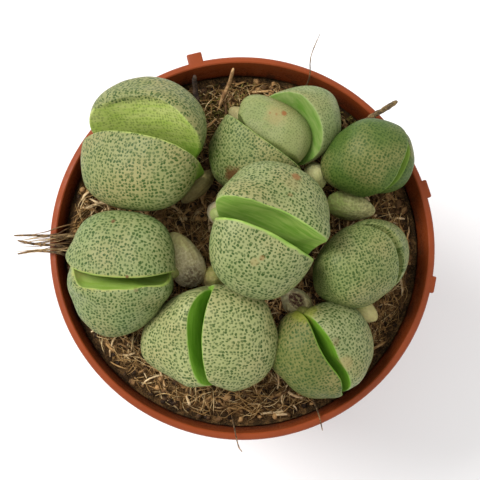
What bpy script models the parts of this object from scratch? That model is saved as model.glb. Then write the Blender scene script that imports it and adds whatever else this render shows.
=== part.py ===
"""Round plastic nursery pot of split-rock succulents, the living stones sold together with lithops.

Metres, +Z up. The origin is the centre of the pot's flat base. Run it with
blender --background --python part.py, or from Blender's text editor.

Each plant is a pair of thick leaves that face each other across a cleft, on a short stem with
a taproot in the soil. Withered leaves of earlier years lie round the stems, and a few twigs
and root fibres stick out of the soil.
"""

import math

import bmesh
import bpy
from mathutils import Matrix, Vector, noise

MM = 0.001
GAP = 0.3 * MM  # air between pieces that rest on each other

# ---------------------------------------------------------------- pot
RIM_RADIUS = 52.5 * MM
POT_HEIGHT = 90 * MM
BASE_RADIUS = 37 * MM
WALL = 1.0 * MM
FLOOR = 1.4 * MM
LIP_WIDTH = 2.0 * MM
BEAD_HEIGHT = 1.8 * MM  # the lip's outer edge, turned down
COLLAR_HEIGHT = 13 * MM  # the wider band under the lip
COLLAR_STEP = 1.4 * MM
FOOT_ROUND = 1.5 * MM
ROUND_STEPS = 48  # facets round the pot and the soil

DRAIN_HOLES = 8
DRAIN_RADIUS = 3.6 * MM
DRAIN_CIRCLE = 27 * MM

# Lugs moulded on the lip's edge: compass heading, width, how far each stands out
LUGS = (
    (104.5, 4.2 * MM, 2.6 * MM),
    (17.5, 5.0 * MM, 1.1 * MM),
    (-11.5, 4.6 * MM, 1.0 * MM),
)

# ---------------------------------------------------------------- soil
SOIL_DROP = 8.0 * MM  # mean drop from the lip to the soil
SOIL_HEAP = 1.2 * MM  # how much higher it lies on the side it is heaped to
SOIL_HEAPED_TO = 240  # heading, in degrees
SOIL_ROUGHNESS = 0.8 * MM
SOIL_LUMP = 9 * MM
HOLLOW_DEPTH = 2.4 * MM  # each plant sits in a shallow hollow
HOLLOW_RADIUS = 12 * MM
SOIL_RINGS = 8

# ---------------------------------------------------------------- plants, in millimetres and degrees
# crown: where the leaves meet, in plan; rise: its height over the mean soil.
# heading: direction of the cleft in plan. roll: how far the plant leans along its cleft.
# Each leaf: the way its back faces, turned from the cleft's left side; width, thickness, length;
# lean of its inner face from upright; curl, how far its sides reach forward of its middle;
# and how far it is set back from the crown.
PLANTS = {
    "plant_1": dict(crown=(-20.1, 21.4), rise=3.5, heading=-12, roll=-26, leaves=(
        (0, 34.1, 13.8, 27.6, 26, 2.5, 0),
        (180, 36.2, 18.9, 26.8, -8, -2.5, 0))),
    "plant_2": dict(crown=(7.9, 25.9), rise=1.5, heading=-38, roll=-10, leaves=(
        (0, 22, 9.6, 20.8, 10, -0.4, 0),
        (180, 26.2, 14.3, 24.3, 5, 0.4, 0),
        (-22, 21.7, 12.9, 20.5, 27, 2.6, 5.8))),
    "plant_3": dict(crown=(2.4, 0.3), rise=13.7, heading=-22, roll=8, leaves=(
        (0, 31.2, 17.7, 27.7, 11, -0.5, 0),
        (180, 28.9, 16.1, 25.7, 2, 0.5, 0))),
    "plant_4": dict(crown=(-27.3, -6.8), rise=2.5, heading=-7, roll=-18, leaves=(
        (0, 30.8, 17.9, 25.7, -11, -2.7, 0),
        (180, 27.4, 13.3, 25.4, 17, 2.7, 0))),
    "plant_5": dict(crown=(-8.6, -21.2), rise=2, heading=-88, roll=17, leaves=(
        (0, 30.6, 19.4, 24.4, -8, -3.6, 0),
        (180, 27.1, 12.6, 23.5, 19, 3.6, 0))),
    "plant_6": dict(crown=(17.8, -24.4), rise=1.5, heading=-59, roll=22, leaves=(
        (0, 25.2, 13.6, 22.5, 5, -0.2, 0),
        (180, 26.5, 13.3, 22.6, -1, 0.2, 0))),
    "plant_7": dict(crown=(21.5, -5.6), rise=4.2, heading=113, roll=-15, leaves=(
        (0, 21.6, 17.4, 25.8, -41, -2.3, 0),
        (180, 20.7, 11.7, 25.8, 48, 2.3, 0))),
    "plant_8": dict(crown=(28.8, 27.2), rise=3, heading=67, roll=-6, leaves=(
        (0, 21.3, 13.8, 24.9, -35, -0.3, 0),
        (180, 17.8, 7.8, 23.1, 43, 0.3, 0))),
}

LEAF_CUTS = 5
OLD_LEAF_CUTS = 3
NARROW_BASE = 0.52  # width of a leaf at its foot, as a share of its full width
INNER_HOLLOW = 0.04  # of a leaf's thickness
BLUNT = 0.88  # 1 is an ellipsoid, less is blunter

STEM_RADIUS = 2.6 * MM
STEM_GAP = 1.1 * MM
ROOT_LENGTH = 34 * MM
ROOT_TIP = 0.25  # the taproot's end, as a share of the stem's radius

# Withered leaves: where each is attached, in plan; its height over the mean soil; the heading
# its tip points to; its lean from upright; width, thickness, length.
OLD_LEAVES = {
    "old_leaf_1": dict(at=(-14.5, 18), rise=2.5, heading=-30, lean=62, width=11, thick=5, length=9),
    "old_leaf_2": dict(at=(2.5, 31.5), rise=1, heading=135, lean=70, width=8, thick=4, length=8),
    "old_leaf_3": dict(at=(-3.4, 3.6), rise=5, heading=150, lean=55, width=9, thick=5, length=9),
    "old_leaf_4": dict(at=(-21.5, -4.5), rise=4, heading=-8, lean=62, width=13, thick=6, length=12),
    "old_leaf_5": dict(at=(-6.8, -12.8), rise=2, heading=95, lean=60, width=8, thick=4, length=8),
    "old_leaf_6": dict(at=(15, -20), rise=2, heading=110, lean=60, width=11, thick=5, length=9),
    "old_leaf_7": dict(at=(27, -13), rise=2, heading=-30, lean=75, width=7, thick=4, length=11),
    "old_leaf_8": dict(at=(24, 14.5), rise=2, heading=-15, lean=75, width=10, thick=6, length=13),
    "old_leaf_9": dict(at=(21, 15.5), rise=4, heading=100, lean=30, width=6, thick=5, length=8),
}

# Twigs and root fibres that stick out of the soil: thickness, taper, where each stands on the
# soil, and the points it passes, with heights over the mean soil, all in millimetres.
STRAYS = {
    "twig_right": (1.4, 0.6, (31, 33), ((33, 34, 6.5), (35.5, 35.7, 9.8), (38, 37, 10.4), (42, 39.5, 11))),
    "twig_dark": (1.9, 0.8, (-12.5, 39), ((-13.2, 43.5, 3.5), (-13.6, 46.8, 8))),
    "twig_pale": (1.5, 0.7, (-6.5, 40), ((-4, 45, 5), (-2.8, 48.6, 9.8))),
    "fibre_left_1": (0.7, 0.6, (-46, 0.5), ((-49, 1.8, 9), (-56, 2.2, 9.6), (-62, 2, 10.2))),
    "fibre_left_2": (0.9, 0.6, (-46, -1.5), ((-49, -0.6, 9), (-56, -0.2, 9.4), (-61, 0.8, 9.2))),
    "fibre_left_3": (0.7, 0.6, (-46, -4), ((-49.2, -2.6, 9), (-56, -2, 9), (-61, -2.8, 8.6))),
    "fibre_top": (0.5, 0.5, (17, 44), ((18.3, 46.8, 8), (18, 51, 14), (20.5, 57, 17))),
    "fibre_bottom": (0.5, 0.6, (-3, -46), ((-2.5, -49.4, 9), (-1.5, -54, 10), (-0.5, -55.5, 9.5))),
    "fibre_low_right": (0.6, 0.6, (19, -41), ((19.6, -43.6, 6), (20.2, -46.2, 9.2), (21, -50, 9.8))),
}
STRAY_STEPS = 3  # stretches between two of a stray's points


# ---------------------------------------------------------------- helpers
def clear_scene():
    for old in list(bpy.data.objects):
        bpy.data.objects.remove(old)


def new_collection(name):
    collection = bpy.data.collections.new(name)
    bpy.context.scene.collection.children.link(collection)
    return collection


def material(name, colour, roughness):
    made = bpy.data.materials.new(name)
    made.use_nodes = True
    shader = made.node_tree.nodes["Principled BSDF"]
    shader.inputs["Base Color"].default_value = (*colour, 1)
    shader.inputs["Roughness"].default_value = roughness
    made.diffuse_color = (*colour, 1)
    return made


def add_object(name, data, collection, finish=None):
    made = bpy.data.objects.new(name, data)
    collection.objects.link(made)
    if finish:
        data.materials.append(finish)
    return made


def as_cutter(piece):
    piece.hide_render = True
    piece.display_type = "WIRE"
    return piece


def boolean(piece, cutter, operation):
    cut = piece.modifiers.new(f"{operation.lower()} {cutter.name}", "BOOLEAN")
    cut.operation = operation
    cut.object = cutter


def turned(name, profile, steps, collection, finish=None):
    """A solid of revolution about Z. The profile is (radius, height) points and its outer side
    runs downwards."""
    mesh = bpy.data.meshes.new(name)
    ends = [(i, i + 1) for i in range(len(profile) - 1)]
    mesh.from_pydata([(radius, 0, height) for radius, height in profile], ends, [])
    made = add_object(name, mesh, collection, finish)
    screw = made.modifiers.new("turn", "SCREW")
    screw.axis = "Z"
    screw.steps = screw.render_steps = steps
    screw.use_merge_vertices = True
    screw.merge_threshold = 0.02 * MM
    return made


def frozen(piece):
    """Replaces the piece's data by its evaluated mesh, welded, with its modifiers gone."""
    bpy.context.view_layer.update()
    graph = bpy.context.evaluated_depsgraph_get()
    mesh = bpy.data.meshes.new_from_object(piece.evaluated_get(graph))
    work = bmesh.new()
    work.from_mesh(mesh)
    bmesh.ops.remove_doubles(work, verts=work.verts, dist=0.002 * MM)
    work.to_mesh(mesh)
    work.free()
    made = bpy.data.objects.new("frozen", mesh)
    made.matrix_world = piece.matrix_world
    collection, name = piece.users_collection[0], piece.name
    bpy.data.objects.remove(piece)
    made.name = name
    collection.objects.link(made)
    return made


def smoothstep(low, high, value):
    share = min(max((value - low) / (high - low), 0), 1)
    return share * share * (3 - 2 * share)


# ---------------------------------------------------------------- pot
def wall_radius(height, inside=True):
    """Radius of the tapered wall at a height, on its inner or outer side."""
    top = RIM_RADIUS - LIP_WIDTH + WALL - COLLAR_STEP
    radius = BASE_RADIUS + (top - BASE_RADIUS) * height / POT_HEIGHT
    if height > POT_HEIGHT - COLLAR_HEIGHT:
        radius += COLLAR_STEP
    return radius - WALL if inside else radius


def make_pot(parts, cutters, finish):
    collar_foot = POT_HEIGHT - COLLAR_HEIGHT
    ledge = WALL
    profile = [
        (0, FLOOR),
        (wall_radius(FLOOR) - FOOT_ROUND, FLOOR),
        (wall_radius(FLOOR + FOOT_ROUND), FLOOR + FOOT_ROUND),
        (wall_radius(collar_foot), collar_foot + ledge),
        (wall_radius(collar_foot + ledge), collar_foot + 2 * ledge),
        (wall_radius(POT_HEIGHT), POT_HEIGHT - 0.4 * MM),
        (wall_radius(POT_HEIGHT) + 0.4 * MM, POT_HEIGHT),
        (RIM_RADIUS - 0.5 * MM, POT_HEIGHT),
        (RIM_RADIUS, POT_HEIGHT - 0.5 * MM),
        (RIM_RADIUS, POT_HEIGHT - BEAD_HEIGHT),
        (wall_radius(POT_HEIGHT, False) + 0.1 * MM, POT_HEIGHT - BEAD_HEIGHT - 0.5 * MM),
        (wall_radius(collar_foot + ledge, False), collar_foot + 0.4 * MM),
        (wall_radius(collar_foot + ledge, False) - 0.4 * MM, collar_foot),
        (wall_radius(collar_foot, False), collar_foot - 0.2 * MM),
        (wall_radius(FOOT_ROUND, False), FOOT_ROUND),
        (wall_radius(0, False) - FOOT_ROUND, 0),
        (0, 0),
    ]
    pot = turned("pot", profile, ROUND_STEPS, parts, finish)

    for index, (heading, width, proud) in enumerate(LUGS, 1):
        lug = make_lug(f"lug_{index}", heading, width, proud, cutters)
        boolean(pot, lug, "UNION")
    for index in range(DRAIN_HOLES):
        angle = 2 * math.pi * (index + 0.5) / DRAIN_HOLES
        place = Vector((math.cos(angle), math.sin(angle), 0)) * DRAIN_CIRCLE
        boolean(pot, make_drain_cutter(f"drain_{index + 1}", place, cutters), "DIFFERENCE")
    return pot


def make_lug(name, heading, width, proud, cutters):
    """A small rounded tab that stands out from the lip."""
    inside = LIP_WIDTH * 0.5
    work = bmesh.new()
    bmesh.ops.create_cube(work, size=1)
    scale = Vector((proud + inside, width, BEAD_HEIGHT * 0.8))
    bmesh.ops.scale(work, vec=scale, verts=work.verts)
    outer = [v for v in work.verts if v.co.x > 0]
    bmesh.ops.scale(work, vec=(1, 0.8, 1), verts=outer)
    upright = [e for e in work.edges if e.verts[0] in outer and e.verts[1] in outer]
    bmesh.ops.bevel(work, geom=upright, offset=0.3 * MM, segments=2, affect="EDGES")
    mesh = bpy.data.meshes.new(name)
    work.to_mesh(mesh)
    work.free()
    lug = as_cutter(add_object(name, mesh, cutters))
    angle = math.radians(heading)
    reach = RIM_RADIUS + (proud - inside) / 2
    lug.location = (reach * math.cos(angle), reach * math.sin(angle), POT_HEIGHT - BEAD_HEIGHT * 0.6)
    lug.rotation_euler.z = angle
    return lug


def make_drain_cutter(name, place, cutters):
    work = bmesh.new()
    bmesh.ops.create_cone(
        work, cap_ends=True, segments=16, radius1=DRAIN_RADIUS, radius2=DRAIN_RADIUS, depth=4 * FLOOR
    )
    mesh = bpy.data.meshes.new(name)
    work.to_mesh(mesh)
    work.free()
    cutter = as_cutter(add_object(name, mesh, cutters))
    cutter.location = place
    return cutter


# ---------------------------------------------------------------- plants
def mean_soil():
    return POT_HEIGHT - SOIL_DROP


def leaf_mesh(name, width, thick, length, curl, cuts):
    """A thick leaf with its foot at the origin and its tip up. The inner face lies near y = 0,
    its sides brought forward by the curl, and the back bulges towards +Y."""
    work = bmesh.new()
    bmesh.ops.create_cube(work, size=2)
    bmesh.ops.subdivide_edges(work, edges=work.edges, cuts=cuts, use_grid_fill=True)
    for vertex in work.verts:
        even = Vector([math.tan(part * math.pi / 4) for part in vertex.co]).normalized()
        across, back, up = (math.copysign(abs(part) ** BLUNT, part) for part in even)
        height = (up + 1) / 2
        narrow = NARROW_BASE + (1 - NARROW_BASE) * smoothstep(0, 0.72, height)
        across *= narrow
        depth = thick * (back * narrow if back > 0 else INNER_HOLLOW * even.y**2)
        depth -= curl * across**2 * smoothstep(0, 0.5, height)
        vertex.co = (across * width / 2, depth, height * length)
    mesh = bpy.data.meshes.new(name)
    work.to_mesh(mesh)
    work.free()
    mesh.shade_smooth()
    return mesh


def plant_turn(heading, roll):
    return Matrix.Rotation(math.radians(heading), 4, "Z") @ Matrix.Rotation(math.radians(roll), 4, "Y")


def leaf_place(turn, facing, lean, back):
    """A leaf's turn and shift from its crown."""
    facing_turn = Matrix.Rotation(math.radians(facing), 4, "Z")
    lean_back = Matrix.Rotation(math.radians(-lean), 4, "X")
    set_back = Matrix.Translation((0, back, 0))
    half_gap = Matrix.Translation((0, GAP * 0.7, 0))
    return turn @ facing_turn @ set_back @ lean_back @ half_gap


def crown_of(plant):
    x, y = plant["crown"]
    return Vector((x * MM, y * MM, mean_soil() + plant["rise"] * MM))


def plant_axis(plant):
    """The way the plant grows: halfway between its two main leaves."""
    leans = {facing: lean for facing, _, _, _, lean, _, _ in plant["leaves"]}
    sideways = Matrix.Rotation(math.radians((leans[180] - leans[0]) / 2), 4, "X")
    return plant_turn(plant["heading"], plant["roll"]) @ sideways @ Vector((0, 0, 1))


def make_plant(name, plant, parts, finish):
    turn = plant_turn(plant["heading"], plant["roll"])
    for letter, leaf in zip("abc", plant["leaves"]):
        facing, width, thick, length, lean, curl, back = leaf
        label = f"{name}_leaf_{letter}"
        mesh = leaf_mesh(label, width * MM, thick * MM, length * MM, curl * MM, LEAF_CUTS)
        made = add_object(label, mesh, parts, finish)
        place = leaf_place(turn, facing, lean, back * MM)
        made.matrix_world = Matrix.Translation(crown_of(plant)) @ place


def make_old_leaf(name, leaf, parts, finish):
    x, y = leaf["at"]
    foot = Vector((x * MM, y * MM, mean_soil() + leaf["rise"] * MM))
    width, thick, length = (leaf[key] * MM for key in ("width", "thick", "length"))
    mesh = leaf_mesh(name, width, thick, length, 0.1 * width, OLD_LEAF_CUTS)
    made = add_object(name, mesh, parts, finish)
    # the inner face turns up as the leaf leans out
    turn = plant_turn(leaf["heading"] - 90, 0)
    made.matrix_world = Matrix.Translation(foot) @ leaf_place(turn, 0, leaf["lean"], 0)


def tube(name, points, radii, thickness, resolution, collection, finish=None):
    """A round tube through the points, with caps."""
    curve = bpy.data.curves.new(name, "CURVE")
    curve.dimensions = "3D"
    curve.bevel_depth = thickness
    curve.bevel_resolution = resolution
    curve.use_fill_caps = True
    spline = curve.splines.new("POLY")
    spline.points.add(len(points) - 1)
    for target, point, radius in zip(spline.points, points, radii):
        target.co = (*point, 1)
        target.radius = radius
    return add_object(name, curve, collection, finish)


def root_line(plant):
    """Points and radii down the stem and the taproot, which bends from the pair's axis to
    straight down."""
    axis, crown = plant_axis(plant), crown_of(plant)
    point = crown - axis * STEM_GAP
    steps = 6
    points, radii = [point], [1.0]
    for index in range(1, steps + 1):
        share = index / steps
        way = (-axis).lerp(Vector((0, 0, -1)), min(1, 1.6 * share)).normalized()
        point = point + way * ROOT_LENGTH / steps
        points.append(point)
        radii.append(1 - (1 - ROOT_TIP) * share**1.3)
    return points, radii


def make_root(name, plant, parts, cutters, finish):
    """Makes the stem and taproot, and returns the cutter for its pocket in the soil."""
    points, radii = root_line(plant)
    tube(name, points, radii, STEM_RADIUS, 2, parts, finish)
    below = [*points[:-1], points[-1] - Vector((0, 0, 2 * GAP))]
    pocket_radii = [radius + GAP / STEM_RADIUS * 1.4 for radius in radii]
    pocket = as_cutter(tube(f"{name}_pocket", below, pocket_radii, STEM_RADIUS, 2, cutters))
    return as_cutter(frozen(pocket))


# ---------------------------------------------------------------- soil
def soil_height(x, y):
    """Height of the soil's top at a place in plan."""
    slope_way = Vector((math.cos(math.radians(SOIL_HEAPED_TO)), math.sin(math.radians(SOIL_HEAPED_TO))))
    heap = SOIL_HEAP * Vector((x, y)).dot(slope_way) / RIM_RADIUS
    lumps = SOIL_ROUGHNESS * noise.noise(Vector((x, y, 0)) / SOIL_LUMP)
    hollows = 0
    for plant in PLANTS.values():
        middle = crown_of(plant) + plant_axis(plant) * 12 * MM
        away = Vector((x - middle.x, y - middle.y)).length
        hollows = max(hollows, math.exp(-((away / HOLLOW_RADIUS) ** 4)))
    hollows *= 1 - smoothstep(0.82, 0.97, Vector((x, y)).length / wall_radius(mean_soil()))
    return mean_soil() + heap + lumps - HOLLOW_DEPTH * hollows


def make_soil(parts, finish, pockets):
    floor = FLOOR + GAP
    collar_foot = POT_HEIGHT - COLLAR_HEIGHT
    edge = wall_radius(collar_foot + 2 * WALL) - GAP
    profile = [(edge * ring / SOIL_RINGS, mean_soil()) for ring in range(SOIL_RINGS + 1)]
    profile += [
        (edge, collar_foot + 2 * WALL + 2 * GAP),
        (wall_radius(collar_foot) - GAP, collar_foot + WALL + 2 * GAP),
        (wall_radius(floor + 3 * MM) - GAP, floor + 3 * MM),
        (wall_radius(floor) - GAP - 2.5 * MM, floor),
        (0, floor),
    ]
    soil = frozen(turned("soil", profile, ROUND_STEPS, parts, finish))
    for vertex in soil.data.vertices:
        if vertex.co.z > mean_soil() - 0.1 * MM:
            vertex.co.z = soil_height(vertex.co.x, vertex.co.y)
    for pocket in pockets:
        boolean(soil, pocket, "DIFFERENCE")
    return soil


# ---------------------------------------------------------------- strays
def curve_through(points, steps):
    """Points of a smooth curve through the given ones (Catmull-Rom)."""
    points = [points[0] * 2 - points[1], *points, points[-1] * 2 - points[-2]]
    made = []
    for before, start, end, after in zip(points, points[1:], points[2:], points[3:]):
        for step in range(steps):
            t = step / steps
            made.append(
                start * (1 - t) ** 2 * (1 + 2 * t)
                + end * t**2 * (3 - 2 * t)
                + (end - before) / 2 * t * (1 - t) ** 2
                - (after - start) / 2 * t**2 * (1 - t)
            )
    return [*made, points[-2]]


def make_stray(name, thickness, taper, foot, route, parts, finish):
    x, y = (part * MM for part in foot)
    corners = [Vector((x, y, soil_height(x, y) + thickness / 2 * MM + GAP))]
    corners += [Vector((x * MM, y * MM, mean_soil() + z * MM)) for x, y, z in route]
    points = curve_through(corners, STRAY_STEPS)
    radii = [1 - (1 - taper) * index / (len(points) - 1) for index in range(len(points))]
    tube(name, points, radii, thickness / 2 * MM, 1, parts, finish)


# ---------------------------------------------------------------- the whole
def main():
    clear_scene()
    parts = new_collection("potted_living_stones")
    cutters = new_collection("cutters")
    terracotta = material("terracotta_plastic", (0.45, 0.12, 0.045), 0.45)
    peat = material("peat_soil", (0.08, 0.045, 0.02), 0.95)
    skin = material("leaf_skin", (0.33, 0.38, 0.17), 0.55)
    withered = material("withered_leaf", (0.35, 0.28, 0.15), 0.8)
    rootwood = material("stem_and_root", (0.30, 0.18, 0.09), 0.8)
    wood = material("twig", (0.25, 0.15, 0.07), 0.85)

    make_pot(parts, cutters, terracotta)
    pockets = []
    for name, plant in PLANTS.items():
        make_plant(name, plant, parts, skin)
        pockets.append(make_root(f"{name}_root", plant, parts, cutters, rootwood))
    for name, leaf in OLD_LEAVES.items():
        make_old_leaf(name, leaf, parts, withered)
    make_soil(parts, peat, pockets)
    for name, stray in STRAYS.items():
        make_stray(name, *stray, parts, wood)


if __name__ == "__main__":
    main()
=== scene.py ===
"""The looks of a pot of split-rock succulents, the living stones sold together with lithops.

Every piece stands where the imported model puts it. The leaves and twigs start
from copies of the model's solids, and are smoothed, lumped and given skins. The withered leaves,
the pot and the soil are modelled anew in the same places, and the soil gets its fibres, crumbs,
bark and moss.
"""

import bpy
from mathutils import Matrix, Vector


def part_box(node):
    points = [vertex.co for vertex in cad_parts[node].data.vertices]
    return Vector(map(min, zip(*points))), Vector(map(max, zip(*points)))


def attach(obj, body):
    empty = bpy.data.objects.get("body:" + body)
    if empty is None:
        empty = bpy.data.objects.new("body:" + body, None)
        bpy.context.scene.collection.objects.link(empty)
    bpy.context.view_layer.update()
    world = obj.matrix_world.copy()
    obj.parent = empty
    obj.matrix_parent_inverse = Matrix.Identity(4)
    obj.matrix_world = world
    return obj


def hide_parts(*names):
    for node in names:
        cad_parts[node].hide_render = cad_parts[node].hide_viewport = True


bl_info = {
    "name": "Potted Split Rocks",
    "version": (1, 0, 0),
    "blender": (4, 5, 0),
    "location": "View3D > Sidebar > Split Rocks",
    "description": "Builds a nursery pot of split-rock succulents round a packed model",
    "category": "Add Mesh",
}

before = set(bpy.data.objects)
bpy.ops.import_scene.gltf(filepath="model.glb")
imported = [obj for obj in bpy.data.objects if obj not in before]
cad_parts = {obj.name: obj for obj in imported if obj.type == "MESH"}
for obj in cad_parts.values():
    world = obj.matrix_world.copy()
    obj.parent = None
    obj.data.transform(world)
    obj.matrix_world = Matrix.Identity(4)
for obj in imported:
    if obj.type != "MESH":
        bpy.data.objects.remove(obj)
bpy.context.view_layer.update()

import math
import random

import bmesh
import bpy
import numpy as np
from bpy.props import FloatProperty, FloatVectorProperty, IntProperty, PointerProperty
from mathutils import Matrix, Vector, noise
from mathutils.bvhtree import BVHTree

MM = 0.001
BODY = "root"

POT_LOW, POT_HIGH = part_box("pot")
SOIL_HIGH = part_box("soil")[1]
RIM_HEIGHT = POT_HIGH.z
RIM_RADIUS = -POT_LOW.x
SOIL_RADIUS = SOIL_HIGH.x
SOIL_MIDDLE = 82 * MM  # mean height of the soil's top

LEAVES = sorted(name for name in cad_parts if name.startswith("plant") and "_leaf_" in name)
OLD_LEAVES = sorted(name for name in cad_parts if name.startswith("old_leaf"))
ROOTS = sorted(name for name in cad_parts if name.endswith("_root"))
STRAYS = sorted(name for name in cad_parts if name.startswith(("twig", "fibre")))


def srgb(red, green, blue):
    """A colour named by its 0-255 values, as the linear colour that Blender works with."""
    shares = (value / 255 for value in (red, green, blue))
    return tuple(s / 12.92 if s <= 0.04045 else ((s + 0.055) / 1.055) ** 2.4 for s in shares)


# ---------------------------------------------------------------- what a user would change
class PotSettings(bpy.types.PropertyGroup):
    lip_width: FloatProperty(
        name="Lip width", description="Width of the flat lip", default=2.0 * MM, unit="LENGTH")
    wall: FloatProperty(
        name="Wall", description="Thickness of the wall", default=0.92 * MM, unit="LENGTH")
    collar_height: FloatProperty(
        name="Collar height", description="Height of the wider band under the lip",
        default=13.0 * MM, unit="LENGTH")
    collar_step: FloatProperty(
        name="Collar step", description="How far the band stands out from the wall",
        default=1.4 * MM, unit="LENGTH")
    base_radius: FloatProperty(
        name="Base radius", description="Radius of the flat base", default=37.0 * MM,
        unit="LENGTH")
    colour: FloatVectorProperty(
        name="Colour", description="Colour of the plastic", subtype="COLOR", size=3,
        min=0, max=1, default=srgb(137, 61, 25))


class LeafSettings(bpy.types.PropertyGroup):
    dot_spacing: FloatProperty(
        name="Dot spacing", description="Distance between the skin's dots",
        default=0.86 * MM, unit="LENGTH")
    dot_size: FloatProperty(
        name="Dot size", description="A dot's radius as a share of the spacing", default=0.27,
        min=0, max=1)
    lumps: FloatProperty(
        name="Lumps", description="Height of the soft lumps on a leaf", default=0.45 * MM,
        unit="LENGTH")
    dot_colour: FloatVectorProperty(
        name="Dot colour", description="Colour of the skin's windows", subtype="COLOR", size=3,
        min=0, max=1, default=srgb(46, 71, 16))


class SoilSettings(bpy.types.PropertyGroup):
    fine_fibres: IntProperty(
        name="Fine fibres", description="Number of fine root fibres", default=6500, min=0)
    straws: IntProperty(
        name="Straws", description="Number of coarse fibres and straws", default=800, min=0)
    crumbs: IntProperty(
        name="Crumbs", description="Number of crumbs of peat", default=2400, min=0)
    chips: IntProperty(
        name="Chips", description="Number of bark and wood chips", default=110, min=0)
    roughness: FloatProperty(
        name="Roughness", description="Height of the soil's lumps", default=1.5 * MM,
        unit="LENGTH")


class StageSettings(bpy.types.PropertyGroup):
    elevation: FloatProperty(
        name="Elevation", description="The camera's angle over the floor",
        default=math.radians(83), subtype="ANGLE")
    azimuth: FloatProperty(
        name="Azimuth", description="The camera's heading round the pot",
        default=math.radians(-20), subtype="ANGLE")
    distance: FloatProperty(
        name="Distance", description="From the camera to the rim", default=0.38, unit="LENGTH")
    lens: FloatProperty(
        name="Lens", description="Focal length of the camera, in millimetres", default=104.9)


def settings(part):
    return getattr(bpy.context.scene, "split_rocks_" + part)


# ---------------------------------------------------------------- working with objects
def select_only(piece):
    bpy.ops.object.select_all(action="DESELECT")
    piece.select_set(True)
    bpy.context.view_layer.objects.active = piece


def apply_modifier(piece, kind, **values):
    select_only(piece)
    modifier = piece.modifiers.new(kind.title(), kind)
    for name, value in values.items():
        setattr(modifier, name, value)
    bpy.ops.object.modifier_apply(modifier=modifier.name)


def subdivide(piece, levels):
    apply_modifier(piece, "SUBSURF", levels=levels, render_levels=levels)


def lump(piece, size, height, kind="CLOUDS", depth=2):
    """Raises and lowers the surface along its normals with a soft cloud pattern."""
    texture = bpy.data.textures.new(f"{piece.name} lumps", kind)
    texture.noise_scale = size
    if kind == "CLOUDS":
        texture.noise_depth = depth
    apply_modifier(piece, "DISPLACE", texture=texture, strength=height, mid_level=0.5,
                   texture_coords="LOCAL")


def node_copy(name):
    """A copy of a node's solid under its own name, with its loose triangles merged."""
    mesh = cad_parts[name].data.copy()
    mesh.materials.clear()
    piece = bpy.data.objects.new(name + "_detailed", mesh)
    bpy.context.scene.collection.objects.link(piece)
    select_only(piece)
    bpy.ops.object.mode_set(mode="EDIT")
    bpy.ops.mesh.select_all(action="SELECT")
    bpy.ops.mesh.remove_doubles(threshold=0.01 * MM)
    bpy.ops.mesh.tris_convert_to_quads(face_threshold=math.pi, shape_threshold=math.pi)
    bpy.ops.mesh.faces_shade_smooth()
    bpy.ops.object.mode_set(mode="OBJECT")
    for attribute in ("custom_normal", "sharp_edge", "sharp_face"):
        if attribute in mesh.attributes:
            mesh.attributes.remove(mesh.attributes[attribute])
    return piece


def new_piece(name, mesh):
    piece = bpy.data.objects.new(name, mesh)
    bpy.context.scene.collection.objects.link(piece)
    return piece


def finish_piece(piece, material, replaced=()):
    piece.data.materials.clear()
    piece.data.materials.append(material)
    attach(piece, BODY)
    if replaced:
        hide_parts(*replaced)
    return piece


def points_of(mesh, what="co"):
    values = np.empty(len(mesh.vertices) * 3, np.float32)
    if what == "co":
        mesh.vertices.foreach_get("co", values)
    else:
        mesh.vertex_normals.foreach_get("vector", values)
    return values.reshape(-1, 3).astype(float)


def put_points(mesh, points):
    mesh.vertices.foreach_set("co", points.astype(np.float32).ravel())
    mesh.update()


def put_attribute(mesh, name, values, kind="FLOAT"):
    attribute = mesh.attributes.get(name) or mesh.attributes.new(name, kind, "POINT")
    field = "value" if kind == "FLOAT" else "vector"
    attribute.data.foreach_set(field, np.asarray(values, np.float32).ravel())


def smoothstep(low, high, values):
    share = np.clip((values - low) / (high - low), 0, 1)
    return share * share * (3 - 2 * share)


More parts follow.
